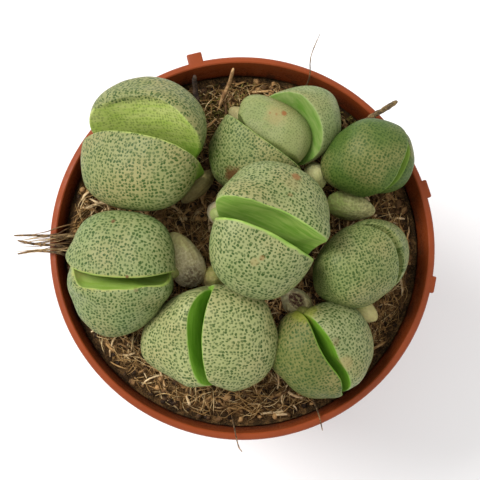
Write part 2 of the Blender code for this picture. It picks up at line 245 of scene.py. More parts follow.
# ---------------------------------------------------------------- working with shader nodes
class Tree:
    """Adds nodes to a node tree. Sockets and plain values both serve as inputs."""

    def __init__(self, tree):
        self.nodes = tree.nodes
        self.links = tree.links

    def add(self, kind, inputs=(), **values):
        node = self.nodes.new(kind)
        for name, value in values.items():
            setattr(node, name, value)
        for name, value in dict(inputs).items():
            self.feed(node.inputs[name], value)
        return node

    def feed(self, socket, value):
        if isinstance(value, bpy.types.NodeSocket):
            self.links.new(value, socket)
        elif isinstance(value, tuple) and len(value) == 3 and socket.type == "RGBA":
            socket.default_value = (*value, 1)
        else:
            socket.default_value = value

    def math(self, operation, first, second=0.0, clamp=False):
        node = self.add("ShaderNodeMath", {0: first, 1: second}, operation=operation)
        node.use_clamp = clamp
        return node.outputs[0]

    def vector(self, operation, first, second=(0, 0, 0)):
        node = self.add("ShaderNodeVectorMath", {0: first, 1: second}, operation=operation)
        return node.outputs["Value" if operation in ("LENGTH", "DISTANCE") else "Vector"]

    def scale(self, vector, factor):
        node = self.add("ShaderNodeVectorMath", {0: vector, "Scale": factor}, operation="SCALE")
        return node.outputs["Vector"]

    def mix(self, share, first, second, blend="MIX"):
        node = self.add("ShaderNodeMix", data_type="RGBA", blend_type=blend)
        for index, value in ((0, share), (6, first), (7, second)):
            self.feed(node.inputs[index], value)
        return node.outputs[2]

    def noise(self, vector, scale, detail=2.0, roughness=0.5):
        node = self.add("ShaderNodeTexNoise", {
            "Vector": vector, "Scale": scale, "Detail": detail, "Roughness": roughness})
        return node.outputs["Fac"]

    def smooth(self, value, low, high, start=0.0, end=1.0):
        node = self.add("ShaderNodeMapRange", {
            "Value": value, "From Min": low, "From Max": high, "To Min": start,
            "To Max": end}, interpolation_type="SMOOTHSTEP")
        return node.outputs["Result"]

    def attribute(self, name, output="Fac"):
        return self.add("ShaderNodeAttribute", attribute_name=name).outputs[output]

    def group(self, group, **inputs):
        node = self.add("ShaderNodeGroup", node_tree=group)
        for name, value in inputs.items():
            self.feed(node.inputs[name.replace("_", " ").capitalize()], value)
        return node.outputs


def node_group(name, inputs, outputs):
    """A new node group, its tree helper, its inputs' sockets and its output node."""
    tree = bpy.data.node_groups.new(name, "ShaderNodeTree")
    for label, kind, default in inputs:
        socket = tree.interface.new_socket(label, in_out="INPUT", socket_type=kind)
        if default is not None:
            socket.default_value = default
    for label, kind in outputs:
        tree.interface.new_socket(label, in_out="OUTPUT", socket_type=kind)
    helper = Tree(tree)
    source = helper.add("NodeGroupInput").outputs
    target = helper.add("NodeGroupOutput").inputs
    return tree, helper, source, target


FLOAT, VECTOR, COLOUR = "NodeSocketFloat", "NodeSocketVector", "NodeSocketColor"


def dots_group():
    """Round windows in a skin: a mask of irregular dots, laid out on the vector's X and Y."""
    if "Skin dots" in bpy.data.node_groups:
        return bpy.data.node_groups["Skin dots"]
    tree, t, source, target = node_group(
        "Skin dots",
        (("Vector", VECTOR, None), ("Spacing", FLOAT, 1.15 * MM), ("Size", FLOAT, 0.36),
         ("Softness", FLOAT, 0.12)),
        (("Mask", FLOAT), ("Tone", FLOAT)))
    scale = t.math("DIVIDE", 1.0, source["Spacing"])
    place = source["Vector"]
    for finer, reach in ((0.3, 0.7), (1.6, 0.3)):
        wobble = t.add("ShaderNodeTexNoise", {
            "Vector": source["Vector"], "Scale": t.math("MULTIPLY", scale, finer),
            "Detail": 0.0}, noise_dimensions="2D")
        shift = t.vector("SUBTRACT", wobble.outputs["Color"], (0.5, 0.5, 0.5))
        shift = t.scale(shift, t.math("MULTIPLY", source["Spacing"], reach))
        place = t.vector("ADD", place, shift)
    cells = t.add("ShaderNodeTexVoronoi", {
        "Vector": place, "Scale": scale, "Randomness": 0.66}, voronoi_dimensions="2D")
    split = t.add("ShaderNodeSeparateColor", {"Color": cells.outputs["Color"]})
    size = t.math("MULTIPLY", source["Size"], t.smooth(split.outputs[0], 0, 1, 0.75, 1.25))
    outer = t.math("ADD", size, source["Softness"])
    t.feed(target["Mask"], t.smooth(cells.outputs["Distance"], outer, size))
    t.feed(target["Tone"], split.outputs[1])
    return tree


def mottle_group():
    """Blotches over soft clouds, from 0 to 1."""
    if "Mottle" in bpy.data.node_groups:
        return bpy.data.node_groups["Mottle"]
    tree, t, source, target = node_group(
        "Mottle",
        (("Vector", VECTOR, None), ("Size", FLOAT, 6 * MM), ("Fine", FLOAT, 0.5)),
        (("Value", FLOAT),))
    scale = t.math("DIVIDE", 1.0, source["Size"])
    coarse = t.noise(source["Vector"], scale, 2.0)
    fine = t.noise(source["Vector"], t.math("MULTIPLY", scale, 7.0), 4.0, 0.65)
    share = t.math("MULTIPLY", t.math("SUBTRACT", fine, 0.5), source["Fine"])
    t.feed(target["Value"], t.smooth(t.math("ADD", coarse, share), 0.25, 0.75))
    return tree


def streak_group():
    """Streaks that run along one direction of the vector, its X."""
    if "Streaks" in bpy.data.node_groups:
        return bpy.data.node_groups["Streaks"]
    tree, t, source, target = node_group(
        "Streaks",
        (("Vector", VECTOR, None), ("Width", FLOAT, 1 * MM), ("Stretch", FLOAT, 12.0)),
        (("Value", FLOAT),))
    squeeze = t.add("ShaderNodeCombineXYZ", {
        "X": t.math("DIVIDE", 1.0, source["Stretch"]), "Y": 1.0, "Z": 1.0}).outputs[0]
    place = t.vector("MULTIPLY", source["Vector"], squeeze)
    lines = t.noise(place, t.math("DIVIDE", 1.0, source["Width"]), 3.0, 0.6)
    t.feed(target["Value"], t.smooth(lines, 0.3, 0.7))
    return tree


def spot_group():
    """A ragged blot round one place."""
    if "Blot" in bpy.data.node_groups:
        return bpy.data.node_groups["Blot"]
    tree, t, source, target = node_group(
        "Blot",
        (("Vector", VECTOR, None), ("Centre", VECTOR, None), ("Radius", FLOAT, 1 * MM)),
        (("Mask", FLOAT),))
    away = t.vector("DISTANCE", source["Vector"], source["Centre"])
    ragged = t.noise(source["Vector"], 700.0, 4.0, 0.75)
    away = t.math("MULTIPLY", away, t.smooth(ragged, 0.25, 0.75, 0.7, 1.35))
    inner = t.math("MULTIPLY", source["Radius"], 0.5)
    t.feed(target["Mask"], t.smooth(away, t.math("MULTIPLY", source["Radius"], 1.15), inner))
    return tree


def new_material(name):
    """A material with only a Principled BSDF, its tree helper and its shader's inputs."""
    material = bpy.data.materials.new(name)
    material.use_nodes = True
    shader = material.node_tree.nodes["Principled BSDF"]
    return material, Tree(material.node_tree), shader.inputs


def object_place(t):
    return t.add("ShaderNodeTexCoord").outputs["Object"]


def bump(t, shader, height, distance, strength=1.0):
    node = t.add("ShaderNodeBump", {
        "Height": height, "Distance": distance, "Strength": strength})
    t.feed(shader["Normal"], node.outputs["Normal"])


# ---------------------------------------------------------------- leaves
# Colours of a skin where it is pale, where it is green and at its foot, and of the smooth inner
# face in light and in shade; the margin's colour where it isn't the pale one. The foot's darker
# green is partly the leaf's own colour and partly painted shade.
SKINS = {
    "green": dict(pale=srgb(141, 145, 97), green=srgb(107, 123, 68), foot=srgb(88, 116, 42),
                  inner=srgb(158, 182, 92), inner_deep=srgb(112, 154, 52)),
    "bright": dict(pale=srgb(153, 155, 104), green=srgb(120, 132, 77), foot=srgb(92, 123, 42),
                   inner=srgb(128, 170, 58), inner_deep=srgb(100, 146, 34), dot=0.95),
    "yellow": dict(pale=srgb(131, 133, 84), green=srgb(103, 115, 61), foot=srgb(93, 116, 38),
                   inner=srgb(172, 180, 106), inner_deep=srgb(148, 168, 76), inner_dots=0.4,
                   spacing=1.0, size=1.05),
    "olive": dict(pale=srgb(109, 110, 57), green=srgb(77, 90, 36), foot=srgb(72, 100, 24),
                  inner=srgb(110, 152, 42), inner_deep=srgb(84, 128, 24), spacing=0.95, dot=0.95),
    "grey": dict(pale=srgb(140, 144, 98), green=srgb(110, 123, 72), foot=srgb(82, 110, 34),
                 inner=srgb(110, 152, 42), inner_deep=srgb(84, 128, 24), spacing=0.95, dot=0.95),
    "sage": dict(pale=srgb(130, 138, 90), green=srgb(96, 116, 62), foot=srgb(84, 112, 38),
                 inner=srgb(140, 164, 82), inner_deep=srgb(120, 148, 54),
                 margin=srgb(150, 146, 84)),
    "dull": dict(pale=srgb(130, 135, 84), green=srgb(97, 113, 55), foot=srgb(83, 101, 40),
                 inner=srgb(158, 178, 92), inner_deep=srgb(118, 156, 56), spacing=0.86, size=1.08,
                 dot=0.95),
    # deep, the skin of plant 8: darker all over, partly the plant's own deeper green and partly
    # painted shade
    "deep": dict(pale=srgb(86, 104, 44), green=srgb(58, 83, 23), foot=srgb(54, 78, 17),
                 inner=srgb(140, 166, 74), inner_deep=srgb(98, 134, 42), spacing=0.86, size=1.08,
                 dot=0.9),
    "soft": dict(pale=srgb(135, 142, 94), green=srgb(106, 126, 70), foot=srgb(86, 113, 43),
                 inner=srgb(128, 148, 80), inner_deep=srgb(88, 126, 42), spacing=0.8, size=0.95,
                 dot=0.6),
    "young": dict(pale=srgb(135, 139, 87), green=srgb(112, 128, 72), foot=srgb(88, 121, 52),
                  inner=srgb(148, 168, 112), inner_deep=srgb(112, 150, 76), spacing=0.74,
                  size=0.85, dot=0.45),
}
# Spacing, size and strength of the dots against the usual, and how strongly the inner face is
# dotted, where a skin doesn't say otherwise
PLAIN_SKIN = dict(spacing=0.98, size=1.0, dot=1.0, inner_dots=0.0)
SKIN_OF = {"plant_1": "yellow", "plant_2": "dull", "plant_4": "sage", "plant_5": "bright",
           "plant_6": "olive", "plant_6_leaf_a": "grey",
           "plant_7": "dull", "plant_8": "deep", "plant_2_leaf_a": "young",
           "plant_2_leaf_c": "soft"}

SCAR, RUST, GREEN = srgb(132, 88, 46), srgb(94, 58, 28), srgb(104, 142, 34)
TAN, OLIVE = srgb(146, 132, 84), srgb(142, 148, 48)
# Scars and stains: centre and radius in millimetres, colour, strength
SCARS = (
    ((12.1, 14.4, 117.2), 1.5, SCAR, 0.85),
    ((10.3, 9.2, 120.8), 0.8, SCAR, 0.4),
    ((3.2, -6.6, 120.5), 0.9, SCAR, 0.5),
    ((1.3, -7.6, 120.1), 1.3, TAN, 0.6),
    ((11.0, 12.0, 119.0), 2.6, TAN, 0.35),
    ((-34.6, 4.0, 106.7), 0.7, RUST, 0.8),
    ((-30.7, -10.6, 109.7), 0.6, RUST, 0.9),
    ((-26.2, -10.0, 109.7), 0.5, RUST, 0.9),
    ((-28.5, -13.8, 108.5), 0.8, RUST, 0.7),
    ((-39.1, -14.4, 105.9), 0.5, RUST, 0.7),
    ((-2.8, 17.2, 101.2), 3.2, RUST, 0.9),
    ((7.5, 33.5, 103.0), 3.4, TAN, 0.6),
    ((4.5, 33.7, 102.3), 0.8, SCAR, 1.0),
    ((6.3, 34.3, 102.3), 0.7, SCAR, 0.9),
    ((8.2, 33.7, 102.6), 0.8, SCAR, 0.9),
    ((10.3, 34.0, 102.2), 0.9, SCAR, 1.0),
    ((9.1, 32.0, 103.2), 0.7, SCAR, 1.0),
    ((-14.0, 19.5, 103.0), 7.0, GREEN, 0.75),
    ((15.5, -19.3, 102.5), 4.2, OLIVE, 0.6),
    ((23.0, -26.5, 105.0), 1.6, RUST, 0.4),
    ((25.9, -32.0, 103.0), 2.4, TAN, 0.6),
    ((-34.0, 27.0, 112.0), 3.0, TAN, 0.4),
)


def leaf_material(name):
    skin = {**PLAIN_SKIN, **SKINS[name]}
    look = settings("leaf")
    material, t, shader = new_material(f"{name}_leaf_skin")
    place = object_place(t)
    inner, along, margin = (t.attribute(key) for key in ("inner", "along", "margin"))
    rough = t.noise(place, 700.0, 2.0)
    inner = t.math("ADD", inner, t.math("MULTIPLY", t.math("SUBTRACT", rough, 0.5), 0.6))
    inner = t.smooth(inner, 0.25, 0.75)

    mottle = t.group(mottle_group(), vector=place, size=7 * MM, fine=0.9)["Value"]
    fine = t.noise(place, 2600.0, 3.0, 0.7)
    # Paler up the leaf towards its tip: partly the skin's own colour, partly painted light on the
    # leaf's upper part
    paleness = t.math("ADD", t.math("MULTIPLY", mottle, 0.45), t.smooth(along, 0.15, 0.95, 0, 0.5))
    paleness = t.math("ADD", paleness, t.math("MULTIPLY", t.math("SUBTRACT", fine, 0.5), 0.5), True)
    colour = t.mix(paleness, skin["green"], skin["pale"])
    warm = t.smooth(t.noise(place, 75.0, 1.0), 0.42, 0.68, 0, 0.4)
    colour = t.mix(warm, colour, TAN)
    # Darker and greener at the foot: partly the leaf's own colour, partly painted shade
    colour = t.mix(t.smooth(along, 0.42, 0.02, 0, 0.9), colour, skin["foot"])

    leaf_place = t.attribute("leaf_place", "Vector")
    dot_look = {"spacing": look.dot_spacing * skin["spacing"],
                "size": look.dot_size * skin["size"], "softness": 0.14}
    dots = t.group(dots_group(), vector=t.attribute("skin_place", "Vector"), **dot_look)
    strength = t.math("MULTIPLY", t.smooth(dots["Tone"], 0, 1, 0.62, 1.0), skin["dot"])
    strength = t.math("MULTIPLY", strength, t.smooth(along, 0.0, 0.3, 0.35, 1.0))
    shown = t.attribute("facing") if skin["inner_dots"] else inner
    strength = t.math("MULTIPLY", strength, t.math("SUBTRACT", 1.0, shown, True))
    dotted = t.math("MULTIPLY", dots["Mask"], strength)
    if skin["inner_dots"]:
        split = t.add("ShaderNodeSeparateXYZ", {"Vector": leaf_place}).outputs
        level = t.add("ShaderNodeCombineXYZ", {"X": split["X"], "Y": split["Z"]}).outputs[0]
        dots = t.group(dots_group(), vector=level, **dot_look)
        strength = t.smooth(inner, 0, 1, 1.0, skin["inner_dots"])
        strength = t.math("MULTIPLY", strength, t.smooth(dots["Tone"], 0, 0.6, 0.2, 1.0))
        strength = t.math("MULTIPLY", strength, shown)
        dotted = t.math("MAXIMUM", dotted, t.math("MULTIPLY", dots["Mask"], strength))

    streaks = t.group(streak_group(), vector=leaf_place, width=1.5 * MM, stretch=7.0)["Value"]
    inner_colour = t.mix(t.math("MULTIPLY", streaks, 0.95), skin["inner_deep"], skin["inner"])
    inner_colour = t.mix(t.smooth(along, 0.3, 0.8, 0.7, 0.0), inner_colour, skin["inner_deep"])
    colour = t.mix(inner, colour, inner_colour)
    margin = t.math("MULTIPLY", margin, t.smooth(rough, 0.3, 0.7, 0.35, 1.0))
    colour = t.mix(margin, colour, skin.get("margin", skin["pale"]))
    colour = t.mix(dotted, colour, tuple(look.dot_colour))

    for centre, radius, stain, strength in SCARS:
        blot = t.group(spot_group(), vector=place, centre=tuple(c * MM for c in centre),
                       radius=radius * MM)["Mask"]
        colour = t.mix(t.math("MULTIPLY", blot, strength), colour, stain)

    t.feed(shader["Base Color"], colour)
    t.feed(shader["Roughness"], t.smooth(mottle, 0, 1, 0.62, 0.5))
    shader["Subsurface Weight"].default_value = 0.06
    shader["Subsurface Radius"].default_value = (0.9, 1.0, 0.35)
    shader["Subsurface Scale"].default_value = 1.5 * MM
    shader["Specular IOR Level"].default_value = 0.25
    height = t.math("SUBTRACT", t.math("MULTIPLY", fine, 0.5), t.math("MULTIPLY", dotted, 0.25))
    bump(t, shader, height, 0.12 * MM, 0.6)
    return material


def inner_direction(mesh, guess):
    """The way the inner face looks: the mean normal of the faces round the guess."""
    normals = np.array([face.normal for face in mesh.polygons])
    areas = np.array([face.area for face in mesh.polygons])
    way = np.array(guess) / np.linalg.norm(guess)
    for least in (0.5, 0.75, 0.85):
        chosen = normals @ way > least
        way = (normals[chosen] * areas[chosen, None]).sum(0)
        way /= np.linalg.norm(way)
    return way


def crease_margin(mesh, way, sharpness):
    """Creases the edges between the inner face and the back."""
    work = bmesh.new()
    work.from_mesh(mesh)
    crease = work.edges.layers.float.new("crease_edge")
    for edge in work.edges:
        sides = [face.normal.dot(way) > 0.6 for face in edge.link_faces]
        if len(sides) == 2 and sides[0] != sides[1]:
            edge[crease] = sharpness
    work.to_mesh(mesh)
    work.free()


def centre_of(name):
    low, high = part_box(name)
    return (low + high) / 2


def partner_of(name):
    plant, letter = name.rsplit("_leaf_", 1)
    return f"{plant}_leaf_{'b' if letter == 'a' else 'a'}"


def crown_of(plant):
    """Where a plant's leaves meet: the top of its stem."""
    points = points_of(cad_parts[f"{plant}_root"].data)
    top = points[points[:, 2] > points[:, 2].max() - 1.5 * MM]
    return Vector(top.mean(0))


def measure_leaf(mesh, way, foot, dotted, edge, tilt):
    """Writes the attributes that a leaf's skin follows: how far up the leaf a point is, whether
    it is on the inner face or the margin, and its place across, behind and up the leaf."""
    points, normals = points_of(mesh), points_of(mesh, "normal")
    up = points.mean(0) - np.array(foot)
    up -= way * (up @ way)
    up /= np.linalg.norm(up)
    across = np.cross(up, way)
    offset = points - np.array(foot)
    height = offset @ up
    along = (height - height.min()) / (height.max() - height.min())
    facing = normals @ way
    put_attribute(mesh, "along", along)
    low, high = edge
    smooth_side = smoothstep(low, high, facing) * (not dotted)
    if high > 0.9:  # a face that fades into the dotted skin towards its top
        smooth_side *= 1 - 0.7 * smoothstep(0.82, 1.0, along)
    put_attribute(mesh, "inner", smooth_side)
    put_attribute(mesh, "facing", smoothstep(0.5, 0.7, facing))
    margin = np.exp(-(((facing - (low + high) / 2) / 0.2) ** 2)) * smoothstep(0.05, 0.3, along)
    put_attribute(mesh, "margin", margin * (not dotted))
    local = np.stack([offset @ across, offset @ way, height], 1)
    put_attribute(mesh, "leaf_place", local, "FLOAT_VECTOR")
    put_attribute(mesh, "skin_place", spread_flat(mesh, local, tilt), "FLOAT_VECTOR")


RELAX_STEPS = 220
RELAX_PACE = 1.3  # over 1, a step goes past the mean to settle sooner


def spread_flat(mesh, local, tilt):
    """Spreads a leaf's skin out flat from the middle of its back, and lets it relax until its
    edges are nearly as long as on the leaf, so that a flat pattern isn't stretched."""
    middle = np.array([0, local[:, 1].min() * 0.3, local[:, 2].max() * 0.5])
    ray = local - middle
    size = np.linalg.norm(ray, axis=1)
    ray /= size[:, None]
    level = math.sqrt(1 - tilt ** 2)
    pole = np.array([0.0, -level, tilt])
    side, up = np.array([1.0, 0, 0]), np.array([0.0, tilt, level])
    angle = np.arccos(np.clip(ray @ pole, -1, 1))
    east, north = ray @ side, ray @ up
    away = np.hypot(east, north) + 1e-9
    reach = 2 * np.sin(angle / 2) * size.mean()
    flat = np.stack([reach * east / away, reach * north / away], 1)

    ends = np.empty(len(mesh.edges) * 2, np.int32)
    mesh.edges.foreach_get("vertices", ends)
    squares = np.array([face.vertices[:] for face in mesh.polygons if len(face.vertices) == 4])
    first, second = np.vstack([ends.reshape(-1, 2), squares[:, ::2], squares[:, 1::2]]).T
    length = np.linalg.norm(local[first] - local[second], axis=1)
    hold = smoothstep(2.35, 1.75, np.maximum(angle[first], angle[second])) + 0.01
    total = np.bincount(first, hold, len(flat)) + np.bincount(second, hold, len(flat))
    for _ in range(RELAX_STEPS):
        gap = flat[second] - flat[first]
        now = np.hypot(*gap.T) + 1e-12
        move = gap * (0.5 * hold * (1 - length / now))[:, None]
        for axis in (0, 1):
            push = np.bincount(first, move[:, axis], len(flat))
            push -= np.bincount(second, move[:, axis], len(flat))
            flat[:, axis] += RELAX_PACE * push / total
    start = local[0] * 977  # so that no two leaves are dotted alike
    return np.stack([flat[:, 0] + start[0], flat[:, 1] + start[2], np.zeros(len(flat))], 1)


# How single leaves are pulled into shape, as if by hand: from where, how far around, which way,
# all in millimetres
PULLS = {
    "plant_1_leaf_a": (
        ((-26, 43, 98), 15, (0, 1.7, 0)),
        ((-37, 38, 100), 12, (-1.2, 1.2, 0)),
        ((-31, 34, 111), 11, (-0.3, 2.7, 0)),
        ((-23, 34, 111), 10, (0.3, 1.8, 0)),
    ),
    "plant_1_leaf_b": (
        ((-12, 22, 97), 8, (2.6, -2.2, 0)),
        ((-42, 27, 103), 8, (1.6, 0.2, 0)),
    ),
    "plant_2_leaf_b": (
        ((-8, 26, 95), 9, (-1.6, -0.3, 0)),
        ((-5, 18, 93), 9, (-2.2, -1.9, 0)),
    ),
    "plant_2_leaf_a": (
        ((3, 38, 97), 7, (-1.9, 1.6, 0)),
        ((1, 33, 102), 7, (-1.4, -1.8, -1.5)),
        ((4, 30, 103), 8, (-1.6, -2.4, -2.0)),
        ((8, 27, 103), 8, (-1.6, -2.4, -2.0)),
        ((12, 24, 102), 7, (-1.0, -1.6, -1.5)),
    ),
    "plant_2_leaf_c": (
        ((9, 40, 96), 8, (-2.8, -1.3, 0)),
        ((28, 35, 94), 9, (-1.6, -0.3, 0)),
        ((19, 24, 92), 8, (-2.5, -2.2, 0)),
    ),
    "plant_8_leaf_a": (
        ((24, 22, 96), 10, (-3.1, 0, 0)),
        ((26, 18, 96), 10, (-2.5, -1.9, 0)),
        ((26, 29, 96), 8, (-1.6, -0.6, 0)),
        ((31, 14, 94), 8, (-0.3, -0.9, 0)),
    ),
    "plant_8_leaf_b": (
        ((47, 24, 92), 8, (-0.9, 0.3, 0)),
        ((44, 28, 95), 7, (0.2, 1.8, 0)),
    ),
    "plant_7_leaf_b": (
        ((38.5, 2, 101), 15, (0.8, 0.3, -1.8)),
    ),
    "plant_7_leaf_a": (
        ((22, -14, 96), 9, (-1.9, -1.2, 0)),
        ((30, -16, 96), 9, (0.3, -1.4, 0)),
        ((38, -2, 104), 9, (0.8, 0.6, 0)),
    ),
    "plant_6_leaf_b": (
        ((11, -22, 95), 8, (-1.2, 1.2, 0)),
        ((8, -29, 95), 9, (-1.2, -2.4, 0)),
        ((21, -29, 104), 12, (-1.5, -0.3, 0)),
        ((27, -38, 96), 7, (-1.5, -1.2, 0)),
        ((14, -20, 100), 6, (-1.2, 0.2, 0)),
    ),
    "plant_6_leaf_a": (
        ((27, -36, 98), 9, (1.6, 1.2, 0)),
        ((24, -29, 104), 9, (0.8, 0.5, 0)),
    ),
    "plant_4_leaf_a": (
        ((-47, -6, 97), 7, (-0.6, 1.5, 0)),
    ),
    "plant_4_leaf_b": (
        ((-45, -13, 96), 10, (-1.8, 0, 0)),
        ((-39, -21, 96), 10, (-2.1, -1.2, 0)),
        ((-33, -23, 96), 10, (-0.9, -1.8, 0)),
        ((-20, -10, 96), 8, (1.5, -1.8, 0)),
        ((-40, -12, 106), 8, (0, -1.8, 0)),
        ((-33, -13, 107), 9, (0, -0.6, 0)),
        ((-23, -11, 104), 7, (1.0, -2.6, 0)),
        ((-42, -10, 103), 6, (-0.8, -2.2, 0)),
    ),
    "plant_5_leaf_b": (
        ((-25, -25, 94), 10, (-2.4, -0.6, 0)),
        ((-22, -32, 94), 9, (-2.7, 0.3, 0)),
        ((-11, -13, 95), 7, (2.4, 2.2, 0)),
        ((-10, -37, 97), 7, (-0.3, 1.6, 0)),
    ),
    "plant_5_leaf_a": (
        ((8, -27, 96), 10, (1.5, 0.9, 0)),
        ((-6, -12, 98), 7, (-2.4, -0.3, 0)),
        ((-9, -39, 97), 7, (1.8, 1.6, 0)),
    ),
    "plant_3_leaf_a": (
        ((4, 6, 118), 10, (0, 1.8, 0)),
        ((10, 3, 118), 9, (0.6, 1.5, 0)),
        ((20.7, -3.1, 112), 9, (-1.8, 1.6, 0)),
    ),
    "plant_3_leaf_b": (
        ((0, 0, 118), 10, (0.6, 1.8, 0)),
        ((7, -3, 118), 9, (0.6, 1.2, 0)),
    ),
}
# How far the foot of an inner face swells towards the other leaf, in millimetres, and whether
# its skin is dotted as the back is
SWELLS = {
    "plant_1_leaf_a": (3.0, False), "plant_2_leaf_a": (4.5, True), "plant_2_leaf_c": (3.0, False),
    "plant_3_leaf_a": (3.2, False), "plant_4_leaf_b": (6.5, False), "plant_5_leaf_b": (5.5, False),
    "plant_6_leaf_a": (5.0, False), "plant_7_leaf_b": (2.5, True), "plant_8_leaf_b": (3.0, False),
}
# How square the upper corners of the inner side are, where not as usual
SQUARED = {"plant_3_leaf_a": 0.2, "plant_5_leaf_b": 0.14, "plant_6_leaf_a": 0.12}
# Between which turns of the skin towards the other leaf the smooth inner side begins
EDGES = {"plant_1_leaf_a": (-0.1, 0.98), "plant_2_leaf_b": (0.5, 0.9),
         "plant_3_leaf_b": (-0.08, 0.08), "plant_5_leaf_a": (0.4, 0.8)}


def pull(points, grips):
    for place, reach, shift in grips:
        away = np.linalg.norm(points - np.array(place) * MM, axis=1) / (reach * MM)
        share = np.clip(1 - away ** 2, 0, 1) ** 2
        points += share[:, None] * np.array(shift) * MM
    return points


def square_up(mesh, way, foot, share):
    """Widens the upper corners of a leaf's inner side, where a leaf is squarer than a dome."""
    points = points_of(mesh)
    up = points.mean(0) - np.array(foot)
    up -= way * (up @ way)
    up /= np.linalg.norm(up)
    across = np.cross(up, way)
    offset = points - np.array(foot)
    side, depth, height = offset @ across, offset @ way, offset @ up
    middle = (height.max() + height.min()) / 2
    half_width, half_height = (side.max() - side.min()) / 2, (height.max() - height.min()) / 2
    east, north = side / half_width, (height - middle) / half_height
    corner = np.clip(np.sin(2 * np.arctan2(np.clip(north, 0, None), abs(east))), 0, 1) ** 2
    corner *= np.clip(np.hypot(east, north), 0, 1) ** 3
    corner *= smoothstep(depth.min() * 0.55, depth.max() * 0.2, depth)
    points += (corner * share * side)[:, None] * across
    points += (corner * share * (height - middle))[:, None] * up
    put_points(mesh, points)


def swell_inner(mesh, way, foot, amount):
    """Swells the foot of the inner face towards the other leaf, so the cleft closes."""
    points, normals = points_of(mesh), points_of(mesh, "normal")
    height = points[:, 2] - foot[2]
    along = np.clip(height / height.max(), 0, 1)
    share = smoothstep(0.35, 0.8, normals @ way) * (1 - along) ** 0.8 * smoothstep(0.05, 0.3, along)
    points += share[:, None] * way * amount
    put_points(mesh, points)


class SPLITROCKS_OT_leaves(bpy.types.Operator):
    """Makes every living leaf: smooths the model's solid, lumps it and gives it its skin"""

    bl_idname = "split_rocks.leaves"
    bl_label = "Leaves"

    def execute(self, context):
        materials = {name: leaf_material(name) for name in SKINS}
        for name in LEAVES:
            piece = node_copy(name)
            way = inner_direction(piece.data, centre_of(partner_of(name)) - centre_of(name))
            plant = name.rsplit("_leaf_", 1)[0]
            swell, dotted = SWELLS.get(name, (0, False))
            tilt = 0.97 if plant in ("plant_1", "plant_2") and name.endswith("a") else 0.6
            edge = EDGES.get(name, (0.35, 0.8) if swell else (0.1, 0.5))
            rolled = edge[0] < 0  # the smooth side comes over the margin, which stays soft
            crease_margin(piece.data, Vector(way), 0.0 if rolled else 0.25)
            subdivide(piece, 2)
            square_up(piece.data, way, crown_of(plant), SQUARED.get(name, 0.05))
            swell_inner(piece.data, way, crown_of(plant), swell * MM)
            put_points(piece.data, pull(points_of(piece.data), PULLS.get(name, ())))
            apply_modifier(piece, "DISPLACE", strength=0.25 * MM, mid_level=0.0)
            lump(piece, 9 * MM, settings("leaf").lumps)
            measure_leaf(piece.data, way, crown_of(plant), dotted, edge, tilt)
            subdivide(piece, 1)
            skin = SKIN_OF.get(name) or SKIN_OF.get(plant, "green")
            finish_piece(piece, materials[skin], [name])
        return {"FINISHED"}


# ---------------------------------------------------------------- withered leaves
# Where each lies and its half length, width and height in millimetres, its heading and how far
# its tip dips in degrees; colours at the foot, at the tip and in the wrinkles; how dotted it is;
# how high its wrinkles are in millimetres
WITHERED = {
    "old_leaf_1": ((-12.7, 15.9, 89), (6.0, 2.6, 4.5), 225, 10,
                   srgb(144, 134, 79), srgb(158, 142, 91), srgb(94, 82, 43), 0.2, 0.5),
    "old_leaf_2": ((-0.9, 35.8, 88), (4.0, 2.6, 4.0), 135, 10,
                   srgb(168, 161, 106), srgb(175, 166, 113), srgb(115, 98, 58), 0.2, 0.4),
    "old_leaf_3": ((-7.0, 8.3, 94), (3.6, 3.2, 5.0), 150, 25,
                   srgb(214, 206, 146), srgb(223, 209, 175), srgb(168, 142, 110), 0.15, 0.5),
    "old_leaf_4": ((-16.2, -4.2, 92), (8.2, 5.0, 5.4), 296, 8,
                   srgb(190, 186, 120), srgb(238, 226, 184), srgb(158, 138, 92), 0.4, 0.3),
    "old_leaf_5": ((-8.3, -8.8, 88.5), (3.8, 3.2, 4.6), 200, 20,
                   srgb(144, 158, 72), srgb(211, 190, 125), srgb(134, 110, 62), 0.1, 0.6),
    "old_leaf_6": ((13.9, -15.6, 93), (4.8, 3.6, 5.2), 135, -20,
                   srgb(236, 226, 150), srgb(244, 236, 184), srgb(168, 134, 92), 0.2, 0.4),
    "old_leaf_7": ((32.3, -17.6, 89.5), (5.0, 3.2, 4.2), 330, 5,
                   srgb(146, 150, 80), srgb(196, 188, 124), srgb(140, 122, 76), 0.1, 0.2),
    "old_leaf_8": ((29.6, 11.0, 88.5), (7.2, 3.9, 4.8), 350, 6,
                   srgb(134, 154, 72), srgb(206, 202, 139), srgb(115, 115, 60), 0.5, 0.2),
    "old_leaf_9": ((19.9, 19.0, 91), (4.0, 3.0, 4.6), 300, 20,
                   srgb(211, 209, 149), srgb(202, 204, 130), srgb(158, 149, 91), 0.15, 0.2),
}
# The colour of a dried tip, and how strongly it shows on the leaves that have one
DRIED = srgb(92, 56, 44)
DRIED_TIPS = {"old_leaf_4": 0.7, "old_leaf_5": 0.4, "old_leaf_6": 1.0}


